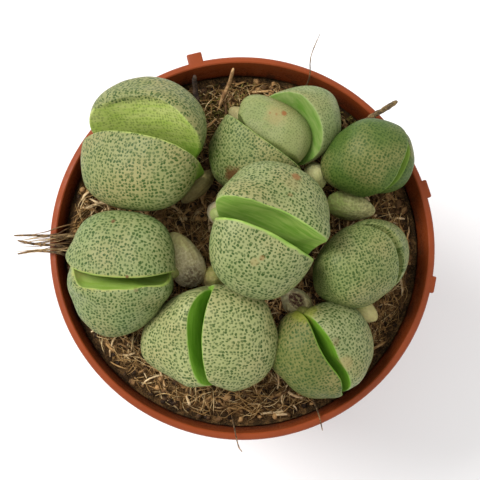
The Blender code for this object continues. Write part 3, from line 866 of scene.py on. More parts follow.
def withered_material(name, foot, tip, wrinkle, dotted, dried=0.0):
    material, t, shader = new_material(f"{name}_skin")
    place, along = object_place(t), t.attribute("along")
    leaf_place = t.attribute("leaf_place", "Vector")
    mottle = t.group(mottle_group(), vector=place, size=3 * MM, fine=1.0)["Value"]
    blend = t.math("ADD", along, t.math("MULTIPLY", mottle, 0.3))
    colour = t.mix(t.smooth(blend, 0.2, 1.0), foot, tip)
    lines = t.group(streak_group(), vector=leaf_place, width=1.1 * MM, stretch=4.0)["Value"]
    colour = t.mix(t.math("MULTIPLY", t.math("SUBTRACT", 1.0, lines), 0.4), colour, wrinkle)
    dots = t.group(dots_group(), vector=t.attribute("skin_place", "Vector"), spacing=0.9 * MM,
                   size=0.3, softness=0.2)["Mask"]
    colour = t.mix(t.math("MULTIPLY", dots, dotted), colour, wrinkle)
    if dried:
        specks = t.smooth(t.noise(place, 1100.0, 3.0, 0.7), 0.36, 0.54)
        specks = t.math("MULTIPLY", t.math("MULTIPLY", specks, t.attribute("tip")), dried)
        colour = t.mix(specks, colour, DRIED)
    t.feed(shader["Base Color"], colour)
    t.feed(shader["Roughness"], t.smooth(mottle, 0, 1, 0.8, 0.65))
    shader["Subsurface Weight"].default_value = 0.08
    shader["Subsurface Radius"].default_value = (1.0, 0.7, 0.35)
    shader["Subsurface Scale"].default_value = 1.0 * MM
    bump(t, shader, lines, 0.25 * MM, 0.7)
    return material


def rounded_block(name, cuts=7):
    """A cube cut up and rounded to a ball, the start of a lobe."""
    bpy.ops.object.select_all(action="DESELECT")
    bpy.ops.mesh.primitive_cube_add(size=2)
    piece = bpy.context.object
    piece.name = name
    bpy.ops.object.mode_set(mode="EDIT")
    bpy.ops.mesh.select_all(action="SELECT")
    bpy.ops.mesh.subdivide(number_cuts=cuts)
    bpy.ops.transform.tosphere(value=1)
    bpy.ops.mesh.faces_shade_smooth()
    bpy.ops.object.mode_set(mode="OBJECT")
    return piece


def make_lobe(name, place, halves, heading, dip, lumps, dent=0.0, broad=False):
    """A fleshy lobe that narrows to its tip and sags, with a dent where the tip dried out."""
    piece = rounded_block(name)
    unit = points_of(piece.data)
    unit /= np.linalg.norm(unit, axis=1)[:, None]
    x, y, z = unit.T
    along = (x + 1) / 2
    width = 0.72 + 0.5 * along if broad else 1.12 - 0.42 * along ** 2
    shaped = np.stack([x, y * width, z * (1.05 - 0.35 * along ** 2)
                       - 0.22 * along ** 2], 1) * np.array(halves) * MM
    if dent:
        near = np.clip(1 - ((x - 0.25) ** 2 + y ** 2) / 0.28, 0, 1) ** 1.5 * (z > 0)
        shaped[:, 2] -= near * dent * halves[2] * MM
    put_points(piece.data, shaped)
    subdivide(piece, 2)
    lump(piece, 2.2 * MM, lumps * MM, depth=3)
    local = points_of(piece.data)
    put_attribute(piece.data, "along", np.clip(local[:, 0] / (2 * halves[0] * MM) + 0.5, 0, 1))
    tip = np.hypot(local[:, 0] / halves[0] / MM - (0.25 if dent else 0.75),
                   local[:, 1] / halves[1] / MM * 0.8) + 0.5 * (local[:, 2] < 0)
    put_attribute(piece.data, "tip", smoothstep(0.62, 0.3, tip))
    put_attribute(piece.data, "leaf_place", local, "FLOAT_VECTOR")
    flat = local[:, :3].copy()
    flat[:, 1] += flat[:, 2] * 0.8
    flat[:, 2] = 0
    put_attribute(piece.data, "skin_place", flat + sum(place) * 7 * MM, "FLOAT_VECTOR")
    turn = (Matrix.Translation(Vector(place) * MM) @ Matrix.Rotation(math.radians(heading), 4, "Z")
            @ Matrix.Rotation(math.radians(dip), 4, "Y"))
    piece.data.transform(turn)
    piece.data.update()
    return piece


# The pale folds where two leaves of a plant join: place, half sizes in millimetres and heading
FOLDS = {
    "plant_3": ((-7.2, 6.4, 103.5), (2.6, 2.2, 4.6), 155, srgb(150, 162, 92)),
    "plant_4": ((-19.8, -8.2, 98.0), (2.6, 2.0, 4.0), 350, srgb(150, 152, 84)),
    "plant_6": ((15.6, -19.4, 97.5), (2.6, 2.4, 4.0), 120, srgb(158, 158, 78)),
}


class SPLITROCKS_OT_folds(bpy.types.Operator):
    """Makes the fleshy folds where the two leaves of a plant join"""

    bl_idname = "split_rocks.folds"
    bl_label = "Folds between the leaves"

    def execute(self, context):
        for plant, (place, halves, heading, colour) in FOLDS.items():
            piece = make_lobe(plant + "_fold", place, halves, heading, 10, 0.15)
            deeper = tuple(c * 0.6 for c in colour)
            finish_piece(piece, withered_material(plant + "_fold", deeper, colour, deeper, 0.0))
        return {"FINISHED"}


class SPLITROCKS_OT_withered(bpy.types.Operator):
    """Makes the withered leaves of earlier years round the feet of the plants"""

    bl_idname = "split_rocks.withered"
    bl_label = "Withered leaves"

    def execute(self, context):
        for name in OLD_LEAVES:
            place, halves, heading, dip, foot, tip, wrinkle, dotted, lumps = WITHERED[name]
            piece = make_lobe(name + "_detailed", place, halves, heading, dip, lumps,
                              0.8 if name == "old_leaf_6" else 0, name == "old_leaf_4")
            skin = withered_material(name, foot, tip, wrinkle, dotted, DRIED_TIPS.get(name, 0))
            finish_piece(piece, skin, [name])
        return {"FINISHED"}


# ---------------------------------------------------------------- pot
def wall_radius(height, inside=True):
    """Radius of the pot's tapered wall at a height, on its inner or outer side."""
    pot = settings("pot")
    top = RIM_RADIUS - pot.lip_width + pot.wall - pot.collar_step
    radius = pot.base_radius + (top - pot.base_radius) * height / RIM_HEIGHT
    if height > RIM_HEIGHT - pot.collar_height:
        radius += pot.collar_step
    return radius - pot.wall if inside else radius


def pot_profile():
    """(radius, height) from the floor's middle up the inner side, over the lip and down the
    outer side to the base's middle, with its corners rounded by close points."""
    pot = settings("pot")
    floor, top, collar = 1.4 * MM, RIM_HEIGHT, RIM_HEIGHT - pot.collar_height
    inner, outer = wall_radius(top), wall_radius(top, False)
    return [
        (4 * MM, floor), (20 * MM, floor), (wall_radius(floor) - 2 * MM, floor),
        (wall_radius(floor) - 0.7 * MM, floor + 0.3 * MM), (wall_radius(floor), floor + 1.2 * MM),
        (wall_radius(20 * MM), 20 * MM), (wall_radius(50 * MM), 50 * MM),
        (wall_radius(collar) - 0.05 * MM, collar + 0.7 * MM),
        (wall_radius(collar) + 0.2 * MM, collar + 1.1 * MM),
        (wall_radius(collar) + 1.2 * MM, collar + 1.8 * MM),
        (wall_radius(collar + 2 * MM), collar + 2.3 * MM),
        (wall_radius(top - 4 * MM), top - 4 * MM), (inner - 0.02 * MM, top - 0.7 * MM),
        (inner + 0.12 * MM, top - 0.2 * MM), (inner + 0.45 * MM, top),
        (RIM_RADIUS - 1.0 * MM, top - 0.15 * MM), (RIM_RADIUS - 0.4 * MM, top - 0.45 * MM),
        (RIM_RADIUS - 0.1 * MM, top - 0.85 * MM), (RIM_RADIUS, top - 1.3 * MM),
        (RIM_RADIUS - 0.15 * MM, top - 1.75 * MM), (RIM_RADIUS - 0.5 * MM, top - 1.9 * MM),
        (outer + 0.3 * MM, top - 2.0 * MM), (outer + 0.05 * MM, top - 2.4 * MM),
        (wall_radius(collar + 4 * MM, False), collar + 4 * MM),
        (wall_radius(collar + 1 * MM, False), collar + 0.5 * MM),
        (wall_radius(collar + 1 * MM, False) - 0.2 * MM, collar + 0.1 * MM),
        (wall_radius(collar, False) + 0.3 * MM, collar),
        (wall_radius(collar, False), collar - 0.3 * MM),
        (wall_radius(50 * MM, False), 50 * MM), (wall_radius(20 * MM, False), 20 * MM),
        (wall_radius(2 * MM, False), 2 * MM), (wall_radius(0, False) - 0.25 * MM, 0.9 * MM),
        (wall_radius(0, False) - 0.8 * MM, 0.25 * MM), (wall_radius(0, False) - 1.5 * MM, 0),
        (20 * MM, 0), (4 * MM, 0),
    ]


ROUND = 192  # facets round the pot


def turn_profile(name, profile, steps):
    """Adds a circle at the profile's first point and extrudes it from point to point."""
    radius, height = profile[0]
    bpy.ops.object.select_all(action="DESELECT")
    bpy.ops.mesh.primitive_circle_add(
        vertices=steps, radius=radius, location=(0, 0, 0), fill_type="NGON")
    piece = bpy.context.object
    piece.name = name
    bpy.ops.object.mode_set(mode="EDIT")
    bpy.ops.mesh.select_all(action="SELECT")
    bpy.ops.transform.translate(value=(0, 0, height))
    bpy.ops.mesh.region_to_loop()
    for next_radius, next_height in profile[1:]:
        bpy.ops.mesh.extrude_edges_move()
        share = next_radius / radius
        bpy.ops.transform.resize(value=(share, share, 1), center_override=(0, 0, 0))
        bpy.ops.transform.translate(value=(0, 0, next_height - height))
        radius, height = next_radius, next_height
    bpy.ops.mesh.edge_face_add()
    bpy.ops.mesh.select_all(action="SELECT")
    bpy.ops.mesh.normals_make_consistent(inside=False)
    bpy.ops.object.mode_set(mode="OBJECT")
    return piece


# Tabs on the lip: heading in degrees, width and how far each stands out, in millimetres
TABS = ((104.5, 4.2, 2.5), (17.5, 5.0, 1.0), (-11.5, 4.6, 0.9))
DRAIN_HOLES = 8
DRAIN_RADIUS = 3.6 * MM
DRAIN_CIRCLE = 27 * MM


def add_tab(heading, width, proud):
    """A rounded tab that stands out from the lip."""
    inside = 1.2 * MM
    bpy.ops.object.select_all(action="DESELECT")
    bpy.ops.mesh.primitive_cube_add(size=1)
    tab = bpy.context.object
    angle = math.radians(heading)
    reach = RIM_RADIUS + (proud - inside) / 2
    tab.data.transform(Matrix.Diagonal((proud + inside, width, 1.5 * MM, 1)))
    apply_modifier(tab, "BEVEL", width=0.45 * MM, segments=4)
    tab.data.transform(Matrix.Translation((reach, 0, RIM_HEIGHT - 1.05 * MM)))
    tab.data.transform(Matrix.Rotation(angle, 4, "Z"))
    return tab


def add_drain(angle):
    bpy.ops.object.select_all(action="DESELECT")
    bpy.ops.mesh.primitive_cylinder_add(vertices=40, radius=DRAIN_RADIUS, depth=6 * MM)
    drain = bpy.context.object
    drain.data.transform(Matrix.Translation(
        (DRAIN_CIRCLE * math.cos(angle), DRAIN_CIRCLE * math.sin(angle), 0)))
    return drain


def pot_material():
    material, t, shader = new_material("terracotta_plastic")
    place = object_place(t)
    colour = tuple(settings("pot").colour)
    mottle = t.group(mottle_group(), vector=place, size=12 * MM, fine=0.6)["Value"]
    base = t.mix(t.math("MULTIPLY", mottle, 0.5), colour, tuple(c * 0.72 for c in colour))
    scuffs = t.noise(t.vector("MULTIPLY", place, (1, 1, 0.15)), 1400.0, 4.0, 0.75)
    scuffs = t.smooth(scuffs, 0.6, 0.72)
    base = t.mix(t.math("MULTIPLY", scuffs, 0.15), base, srgb(196, 120, 64))
    height = t.add("ShaderNodeSeparateXYZ", {"Vector": place}).outputs["Z"]
    # Darker brown in blotches on the inner wall, from just under the lip down towards the soil
    wall_blotches = t.group(mottle_group(), vector=place, size=4 * MM, fine=1.4)["Value"]
    inner_wall_darkening = t.smooth(height, RIM_HEIGHT - 1.5 * MM, RIM_HEIGHT - 8 * MM)
    radius = t.vector("LENGTH", t.vector("MULTIPLY", place, (1, 1, 0)))
    pot, levels = settings("pot"), (10 * MM, 60 * MM)
    low, high = ((wall_radius(level) + wall_radius(level, False)) / 2 for level in levels)
    slope = (high - low) / (levels[1] - levels[0])
    middle = t.math("ADD", t.math("MULTIPLY", height, slope), low - levels[0] * slope)
    in_collar = t.math("GREATER_THAN", height, RIM_HEIGHT - pot.collar_height + 1 * MM)
    middle = t.math("ADD", middle, t.math("MULTIPLY", in_collar, pot.collar_step))
    within = t.smooth(t.math("SUBTRACT", radius, middle), 0.2 * MM, -0.2 * MM, 0.08, 1)
    inner_wall_darkening = t.math("MULTIPLY", t.math("MULTIPLY", inner_wall_darkening, within), t.smooth(wall_blotches, 0.35, 0.9))
    base = t.mix(t.math("MULTIPLY", inner_wall_darkening, 0.75), base, srgb(74, 46, 28))
    t.feed(shader["Base Color"], base)
    t.feed(shader["Roughness"], t.smooth(t.math("ADD", wall_blotches, inner_wall_darkening), 0, 1.4, 0.42, 0.7))
    shader["Specular IOR Level"].default_value = 0.2
    grain = t.noise(place, 3500.0, 2.0, 0.6)
    rings = t.noise(t.vector("MULTIPLY", place, (0.05, 0.05, 1)), 900.0, 2.0, 0.5)
    bump(t, shader, t.math("ADD", grain, rings), 0.06 * MM, 0.5)
    return material


class SPLITROCKS_OT_pot(bpy.types.Operator):
    """Makes the nursery pot: lip with its tabs, collar, tapered wall and floor with its holes"""

    bl_idname = "split_rocks.pot"
    bl_label = "Pot"

    def execute(self, context):
        pot = turn_profile("nursery_pot", pot_profile(), ROUND)
        helpers = [(add_tab(heading, width * MM, proud * MM), "UNION")
                   for heading, width, proud in TABS]
        for index in range(DRAIN_HOLES):
            helpers.append((add_drain(2 * math.pi * (index + 0.5) / DRAIN_HOLES), "DIFFERENCE"))
        for helper, operation in helpers:
            apply_modifier(pot, "BOOLEAN", operation=operation, object=helper)
            bpy.data.objects.remove(helper)
        select_only(pot)
        bpy.ops.object.shade_smooth_by_angle(angle=math.radians(35))
        finish_piece(pot, pot_material(), ["pot"])
        return {"FINISHED"}


# ---------------------------------------------------------------- soil
def soil_levels(places):
    """Height of the model's soil top at places in plan, smoothed over its facets."""
    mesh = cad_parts["soil"].data
    points = points_of(mesh)
    top = points[points[:, 2] > SOIL_HIGH.z - 6 * MM]
    top = np.unique(top.round(6), axis=0)
    levels = np.empty(len(places))
    for start in range(0, len(places), 4000):
        part = places[start:start + 4000]
        away = ((part[:, None, :2] - top[None, :, :2]) ** 2).sum(2)
        weight = np.exp(-away / (2 * (2.6 * MM) ** 2)) + 1e-12
        levels[start:start + 4000] = (weight * top[None, :, 2]).sum(1) / weight.sum(1)
    return levels


# Where peat is heaped against the wall: heading, height and how narrow
WALL_HEAPS = ((190, 7 * MM, 2), (47, 5 * MM, 10))


def peat_height(x, y, roughness):
    """Lumps of peat at a place in plan, heaped up against one side of the pot."""
    place = Vector((x, y, 0))
    lumps = noise.fractal(place / (5 * MM), 0.9, 2.1, 5)
    pits = noise.ridged_multi_fractal(place / (9 * MM) + Vector((7, 3, 1)), 1.0, 2.0, 3, 1.0, 2.0)
    radius, angle = math.hypot(x, y), math.atan2(y, x)
    wall = min(max((radius - 33 * MM) / (12 * MM), 0), 1) ** 2
    heap = sum(wall * rise * max(math.cos(angle - math.radians(heading)), 0) ** narrow
               for heading, rise, narrow in WALL_HEAPS)
    return heap + roughness * (0.55 * lumps - 0.35 * max(0, pits - 1.1))


def peat_material():
    material, t, shader = new_material("peat")
    place = object_place(t)
    mottle = t.group(mottle_group(), vector=place, size=3 * MM, fine=1.4)["Value"]
    colour = t.mix(mottle, srgb(50, 36, 20), srgb(134, 100, 60))
    speck = t.noise(place, 2200.0, 4.0, 0.8)
    colour = t.mix(t.smooth(speck, 0.56, 0.7), colour, srgb(150, 112, 66))
    t.feed(shader["Base Color"], colour)
    shader["Roughness"].default_value = 0.95
    shader["Specular IOR Level"].default_value = 0.2
    bump(t, shader, t.math("ADD", mottle, speck), 0.5 * MM, 1.0)
    return material


class SPLITROCKS_OT_soil(bpy.types.Operator):
    """Makes the plug of peat in the pot, with a lumpy top"""

    bl_idname = "split_rocks.soil"
    bl_label = "Soil"

    def execute(self, context):
        roughness = settings("soil").roughness
        radius = SOIL_RADIUS + 0.25 * MM
        bpy.ops.object.select_all(action="DESELECT")
        bpy.ops.mesh.primitive_circle_add(vertices=144, radius=radius, fill_type="NGON")
        soil = bpy.context.object
        soil.name = "peat_soil"
        bpy.ops.object.mode_set(mode="EDIT")
        bpy.ops.mesh.select_all(action="SELECT")
        bpy.ops.mesh.region_to_loop()
        base_radius = wall_radius(4 * MM) - 0.4 * MM
        collar = RIM_HEIGHT - settings("pot").collar_height
        for ring_radius, height in ((radius, SOIL_MIDDLE - 0.4 * MM),
                                    (radius, SOIL_MIDDLE - 2.2 * MM),
                                    (wall_radius(collar), collar + 0.5 * MM),
                                    (wall_radius(60 * MM), 60 * MM),
                                    (base_radius, 4 * MM), (base_radius - 3 * MM, 2 * MM)):
            bpy.ops.mesh.extrude_edges_move()
            ring = [v for v in bmesh.from_edit_mesh(soil.data).verts if v.select]
            for vertex in ring:
                flat = Vector((vertex.co.x, vertex.co.y)).normalized() * ring_radius
                vertex.co = (flat.x, flat.y, height - SOIL_MIDDLE)
        bpy.ops.mesh.edge_face_add()
        bpy.ops.object.mode_set(mode="OBJECT")
        self.refine_top(soil, radius)
        points = points_of(soil.data)
        top = points[:, 2] > -0.1 * MM
        levels = soil_levels(points[top])
        edge = smoothstep(radius, radius - 2 * MM, np.hypot(points[top, 0], points[top, 1]))
        for index, (place, level, share) in enumerate(zip(points[top], levels, edge)):
            levels[index] = level + peat_height(place[0], place[1], roughness) * (0.3 + 0.7 * share)
        points[:, 2] += SOIL_MIDDLE
        points[top, 2] = levels
        put_points(soil.data, points)
        select_only(soil)
        bpy.ops.object.mode_set(mode="EDIT")
        bpy.ops.mesh.select_all(action="SELECT")
        bpy.ops.mesh.normals_make_consistent(inside=False)
        bpy.ops.object.mode_set(mode="OBJECT")
        bpy.ops.object.shade_smooth()
        finish_piece(soil, peat_material(), ["soil"])
        return {"FINISHED"}

    def refine_top(self, soil, radius):
        """Replaces the top's one face by a fine mesh: rings inset from the edge, then a grid."""
        work = bmesh.new()
        work.from_mesh(soil.data)
        top = [face for face in work.faces
               if face.normal.z > 0.9 and face.calc_center_median().z > -0.1 * MM]
        bmesh.ops.delete(work, geom=top, context="FACES_ONLY")
        rims = [vertex for vertex in work.verts if abs(vertex.co.z) < 1e-6]
        rims.sort(key=lambda v: math.atan2(v.co.y, v.co.x))
        ring, step = rims, 0.55 * MM
        while True:
            here = Vector((ring[0].co.x, ring[0].co.y)).length
            if here < 6 * step:
                break
            count = len(ring)
            next_radius = here - 2 * math.pi * here / count
            halve = 2 * math.pi * next_radius / count < step * 0.62 and count % 2 == 0
            new_count = count // 2 if halve else count
            made = []
            for index in range(new_count):
                source = ring[index * count // new_count]
                angle = math.atan2(source.co.y, source.co.x)
                place = (next_radius * math.cos(angle), next_radius * math.sin(angle), 0)
                made.append(work.verts.new(place))
            for index in range(new_count):
                after = (index + 1) % new_count
                if halve:
                    a, b, c = ring[2 * index], ring[2 * index + 1], ring[(2 * index + 2) % count]
                    work.faces.new((made[index], a, b))
                    work.faces.new((made[index], b, made[after]))
                    work.faces.new((b, c, made[after]))
                else:
                    work.faces.new((made[index], ring[index], ring[after], made[after]))
            ring = made
        work.faces.new(ring)
        work.to_mesh(soil.data)
        work.free()


# ---------------------------------------------------------------- litter on the soil
def leaf_tree():
    """A search tree of every leaf in the model, to keep litter out of them."""
    vertices, faces = [], []
    for name in LEAVES + OLD_LEAVES:
        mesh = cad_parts[name].data
        first = len(vertices)
        vertices.extend(v.co.copy() for v in mesh.vertices)
        faces.extend([first + i for i in face.vertices] for face in mesh.polygons)
    return BVHTree.FromPolygons(vertices, faces)


def inside(tree, point, margin=0.2 * MM):
    """Whether a point lies inside a leaf, or closer to it than the margin."""
    near, normal, _, _ = tree.find_nearest(point)
    if near is None:
        return False
    away = point - near
    return away.dot(normal) < margin and away.length < 15 * MM


class Litter:
    """Collects many small closed shapes into one mesh, each with its own tone."""

    def __init__(self):
        self.vertices, self.faces, self.tones = [], [], []

    def add(self, vertices, faces, tone):
        first = len(self.vertices)
        self.vertices.extend(vertices)
        self.faces.extend(tuple(first + i for i in face) for face in faces)
        self.tones.extend([tone] * len(vertices))

    def strand(self, points, radii, sides, tone, flat=1.0):
        """A thin tube through the points, narrowed at both ends. flat squeezes its height."""
        rings, vertices = [], []
        for index, (point, radius) in enumerate(zip(points, radii)):
            before, after = points[max(0, index - 1)], points[min(len(points) - 1, index + 1)]
            way = (after - before).normalized()
            side = way.cross(Vector((0, 0, 1)))
            side = side.normalized() if side.length > 1e-4 else Vector((1, 0, 0))
            up = side.cross(way)
            ring = []
            for k in range(sides):
                angle = 2 * math.pi * k / sides
                ring.append(len(vertices))
                vertices.append(point + side * radius * math.cos(angle)
                                + up * radius * flat * math.sin(angle))
            rings.append(ring)
        faces = [tuple(reversed(rings[0])), tuple(rings[-1])]
        for low, high in zip(rings, rings[1:]):
            for k in range(sides):
                after = (k + 1) % sides
                faces.append((low[k], low[after], high[after], high[k]))
        self.add(vertices, faces, tone)

    def finish(self, name, material):
        mesh = bpy.data.meshes.new(name)
        mesh.from_pydata(self.vertices, [], self.faces)
        put_attribute(mesh, "tone", self.tones)
        work = bmesh.new()
        work.from_mesh(mesh)
        bmesh.ops.recalc_face_normals(work, faces=work.faces)
        work.to_mesh(mesh)
        work.free()
        mesh.shade_smooth()
        finish_piece(new_piece(name, mesh), material)


class Heaps:
    """Litters of one kind, a new one begun before the last grows too large."""

    def __init__(self, most):
        self.most, self.count, self.litters = most, 0, [Litter()]

    def next(self):
        self.count += 1
        if self.count > self.most:
            self.count = 1
            self.litters.append(Litter())
        return self.litters[-1]

    def finish(self, name, material):
        for index, litter in enumerate(self.litters, 1):
            litter.finish(name if len(self.litters) == 1 else f"{name}_{index}", material)


def litter_material(name, dark, middle, light):
    material, t, shader = new_material(name)
    place, tone = object_place(t), t.attribute("tone")
    mottle = t.group(mottle_group(), vector=place, size=1.2 * MM, fine=1.0)["Value"]
    tone = t.math("ADD", tone, t.math("MULTIPLY", t.math("SUBTRACT", mottle, 0.5), 0.35), True)
    colour = t.mix(t.smooth(tone, 0.0, 0.5), dark, middle)
    colour = t.mix(t.smooth(tone, 0.5, 1.0), colour, light)
    t.feed(shader["Base Color"], colour)
    shader["Roughness"].default_value = 0.64
    shader["Specular IOR Level"].default_value = 0.25
    bump(t, shader, mottle, 0.1 * MM, 0.8)
    return material


def random_place(rng, radius):
    angle, reach = rng.uniform(0, 2 * math.pi), radius * math.sqrt(rng.random())
    return reach * math.cos(angle), reach * math.sin(angle)


class GroundLevels:
    """The soil's top on a grid, looked up quickly."""

    def __init__(self, roughness):
        self.cells = 160
        side = np.linspace(-SOIL_RADIUS, SOIL_RADIUS, self.cells)
        x, y = np.meshgrid(side, side, indexing="ij")
        self.levels = soil_levels(np.stack([x.ravel(), y.ravel()], 1)).reshape(x.shape)
        self.roughness = roughness

    def at(self, x, y):
        scale = (self.cells - 1) / (2 * SOIL_RADIUS)
        i = min(max(int((x + SOIL_RADIUS) * scale), 0), self.cells - 1)
        j = min(max(int((y + SOIL_RADIUS) * scale), 0), self.cells - 1)
        return self.levels[i, j] + peat_height(x, y, self.roughness)


def lay_strand(rng, ground, tree, x, y, length, radius, lift):
    """Points of a strand that lies on the soil from a place, wandering; none if it meets a leaf
    or the pot."""
    heading, points = rng.uniform(0, 2 * math.pi), []
    steps = 6
    bend = rng.gauss(0, 0.16)
    hump = rng.uniform(0, lift)
    for index in range(steps):
        share = index / (steps - 1)
        height = ground.at(x, y) + radius + hump * math.sin(math.pi * share)
        point = Vector((x, y, height + rng.uniform(0, 0.3) * MM))
        if math.hypot(x, y) > SOIL_RADIUS - 0.8 * MM or inside(tree, point):
            return None
        points.append(point)
        heading += bend + rng.uniform(-0.18, 0.18)
        x += math.cos(heading) * length / steps
        y += math.sin(heading) * length / steps
    return points


# Kinds of strand: ranges of radius and length and the highest hump, in millimetres; its width
# along it; its sides, how flat it is and how dark its kind runs; its colours
STRANDS = {
    "soil_fibres": ((0.06, 0.17), (3, 11), 1.5, (0.5, 0.9, 1, 1, 0.8, 0.4), 3, 1.0, 1.2,
                    ("root_fibre", srgb(92, 66, 34), srgb(184, 142, 84), srgb(236, 206, 150))),
    "soil_straws": ((0.14, 0.42), (3, 10), 1.2, (0.8, 1, 1, 1, 0.9, 0.6), 6, 0.5, 1.0,
                    ("straw", srgb(92, 66, 38), srgb(184, 142, 88), srgb(238, 210, 162))),
}
MOST_STRANDS = 2400  # in one piece
# Where moss grows: its middle, how far it spreads and how many sprigs it has
MOSS_PLACES = ((-4.5 * MM, 37 * MM, 6 * MM, 900), (33 * MM, 36.5 * MM, 3 * MM, 420))


class SPLITROCKS_OT_litter(bpy.types.Operator):
    """Strews the soil with fibres, straws, crumbs, bark chips and moss"""

    bl_idname = "split_rocks.litter"
    bl_label = "Litter"

    def execute(self, context):
        soil = settings("soil")
        rng = random.Random(5)
        tree = leaf_tree()
        ground = GroundLevels(soil.roughness)
        self.make_strands(rng, tree, ground, "soil_fibres", soil.fine_fibres)
        self.make_strands(rng, tree, ground, "soil_straws", soil.straws)
        self.make_crumbs(rng, tree, ground, soil.crumbs)
        self.make_chips(rng, tree, ground, soil.chips)
        self.make_moss(rng, tree, ground)
        self.make_tuft(rng, ground)
        return {"FINISHED"}

    def make_strands(self, rng, tree, ground, name, count):
        """Fibres or straws that lie about on the soil."""
        radii, lengths, hump, widths, sides, flat, darkness, colours = STRANDS[name]
        heaps = Heaps(MOST_STRANDS)
        for _ in range(count):
            x, y = random_place(rng, SOIL_RADIUS)
            radius = rng.uniform(*radii) * MM
            length = rng.uniform(*lengths) * MM
            points = lay_strand(rng, ground, tree, x, y, length, radius, hump * MM)
            if points:
                heaps.next().strand(points, [radius * width for width in widths], sides,
                                    rng.random() ** darkness, flat)
        heaps.finish(name, litter_material(*colours))

    def make_crumbs(self, rng, tree, ground, count):
        litter = Litter()
        ball = bmesh.new()
        bmesh.ops.create_icosphere(ball, subdivisions=1, radius=1)
        corners = [v.co.copy() for v in ball.verts]
        faces = [tuple(v.index for v in face.verts) for face in ball.faces]
        ball.free()
        for _ in range(count):
            x, y = random_place(rng, SOIL_RADIUS - 1 * MM)
            size = rng.uniform(0.3, 1.1) * MM * (1.6 if rng.random() < 0.08 else 1)
            middle = Vector((x, y, ground.at(x, y) + size * 0.3))
            if inside(tree, middle):
                continue
            squeeze = Vector((1, rng.uniform(0.6, 1), rng.uniform(0.5, 0.9)))
            turn = Matrix.Rotation(rng.uniform(0, math.pi), 3, "Z")
            made = [middle + turn @ (corner * squeeze) * size * rng.uniform(0.75, 1.2)
                    for corner in corners]
            litter.add(made, faces, rng.random() ** 2)
        material = litter_material("peat_crumb", srgb(44, 30, 17), srgb(116, 84, 50),
                                   srgb(198, 154, 100))
        litter.finish("soil_crumbs", material)

    def make_chips(self, rng, tree, ground, count):
        litter = Litter()
        for _ in range(count):
            x, y = random_place(rng, SOIL_RADIUS - 3 * MM)
            length, width, thick = (
                rng.uniform(*sizes) * MM for sizes in ((1.6, 4), (0.8, 2), (0.2, 0.5)))
            middle = Vector((x, y, ground.at(x, y) + thick))
            if inside(tree, middle, 1 * MM):
                continue
            turn = Matrix.Rotation(rng.uniform(0, 2 * math.pi), 3, "Z") @ Matrix.Rotation(
                rng.uniform(-0.5, 0.5), 3, "X") @ Matrix.Rotation(rng.uniform(-0.4, 0.4), 3, "Y")
            outline = []
            for k in range(7):
                angle, reach = 2 * math.pi * k / 7, rng.uniform(0.7, 1)
                outline.append((math.cos(angle) * length / 2 * reach,
                                math.sin(angle) * width / 2 * reach))
            vertices = [middle + turn @ Vector((a * s, b * s, z * thick))
                        for z, s in ((-0.5, 0.85), (0.2, 1), (0.5, 0.8)) for a, b in outline]
            faces = [tuple(range(6, -1, -1)), tuple(range(14, 21))]
            for low in (0, 7):
                for k in range(7):
                    after = (k + 1) % 7
                    faces.append((low + k, low + after, low + 7 + after, low + 7 + k))
            litter.add(vertices, faces, rng.random())
        material = litter_material("bark_chip", srgb(70, 44, 26), srgb(140, 100, 62),
                                   srgb(204, 176, 130))
        litter.finish("soil_chips", material)

    def make_tuft(self, rng, ground):
        """Root fibres that hang from the soil over one side of the rim."""
        litter = Litter()
        for _ in range(17):
            y = rng.gauss(0.4, 1.4) * MM
            x = -rng.uniform(42, 47) * MM
            tip = rng.uniform(-62, -54) * MM
            foot = Vector((x, y + rng.gauss(1, 1) * MM, ground.at(x, y) + 0.4 * MM))
            top = Vector((-50 * MM, y, RIM_HEIGHT + rng.uniform(0.3, 1.2) * MM))
            end = Vector((tip, y * 0.8 - 1 * MM, RIM_HEIGHT + rng.uniform(0.2, 1.6) * MM))
            points = [foot, foot.lerp(top, 0.6) + Vector((0, 0, 1 * MM)), top,
                      top.lerp(end, 0.5) + Vector((0, rng.gauss(0, 0.3) * MM, 0.4 * MM)), end]
            radius = rng.uniform(0.1, 0.26) * MM
            litter.strand(points, [radius * w for w in (0.8, 1, 1, 0.8, 0.3)], 5, rng.random())
        material = litter_material("hanging_root", srgb(70, 50, 30), srgb(130, 98, 60),
                                   srgb(206, 176, 128))
        litter.finish("hanging_roots", material)

    def make_moss(self, rng, tree, ground):
        litter = Litter()
        for middle_x, middle_y, spread, count in MOSS_PLACES:
            for _ in range(count):
                x, y = rng.gauss(middle_x, spread), rng.gauss(middle_y, spread * 0.8)
                if math.hypot(x, y) > SOIL_RADIUS - 1.5 * MM:
                    continue
                foot = Vector((x, y, ground.at(x, y) + rng.uniform(-0.2, 0.6) * MM))
                way = Vector((rng.uniform(-1, 1), rng.uniform(-1, 1), rng.uniform(0.3, 1.4)))
                way = way.normalized() * rng.uniform(0.6, 1.8) * MM
                points = [foot, foot + way * 0.5, foot + way]
                if not inside(tree, points[-1]):
                    width = rng.uniform(0.1, 0.22) * MM
                    litter.strand(points, [width, width * 1.3, width * 0.2], 4, rng.random(),
                                  flat=0.4)
        material = litter_material("moss", srgb(66, 62, 20), srgb(116, 106, 44), srgb(168, 152, 84))
        litter.finish("moss", material)


# ---------------------------------------------------------------- stems, roots and strays
def wood_material(name, dark, light):
    material, t, shader = new_material(name)
    place = object_place(t)
    mottle = t.group(mottle_group(), vector=place, size=2 * MM, fine=1.2)["Value"]
    lines = t.noise(place, 1500.0, 4.0, 0.7)
    colour = t.mix(t.smooth(t.math("ADD", mottle, lines), 0.5, 1.5), dark, light)
    t.feed(shader["Base Color"], colour)
    shader["Roughness"].default_value = 0.85
    bump(t, shader, lines, 0.25 * MM, 0.9)
    return material


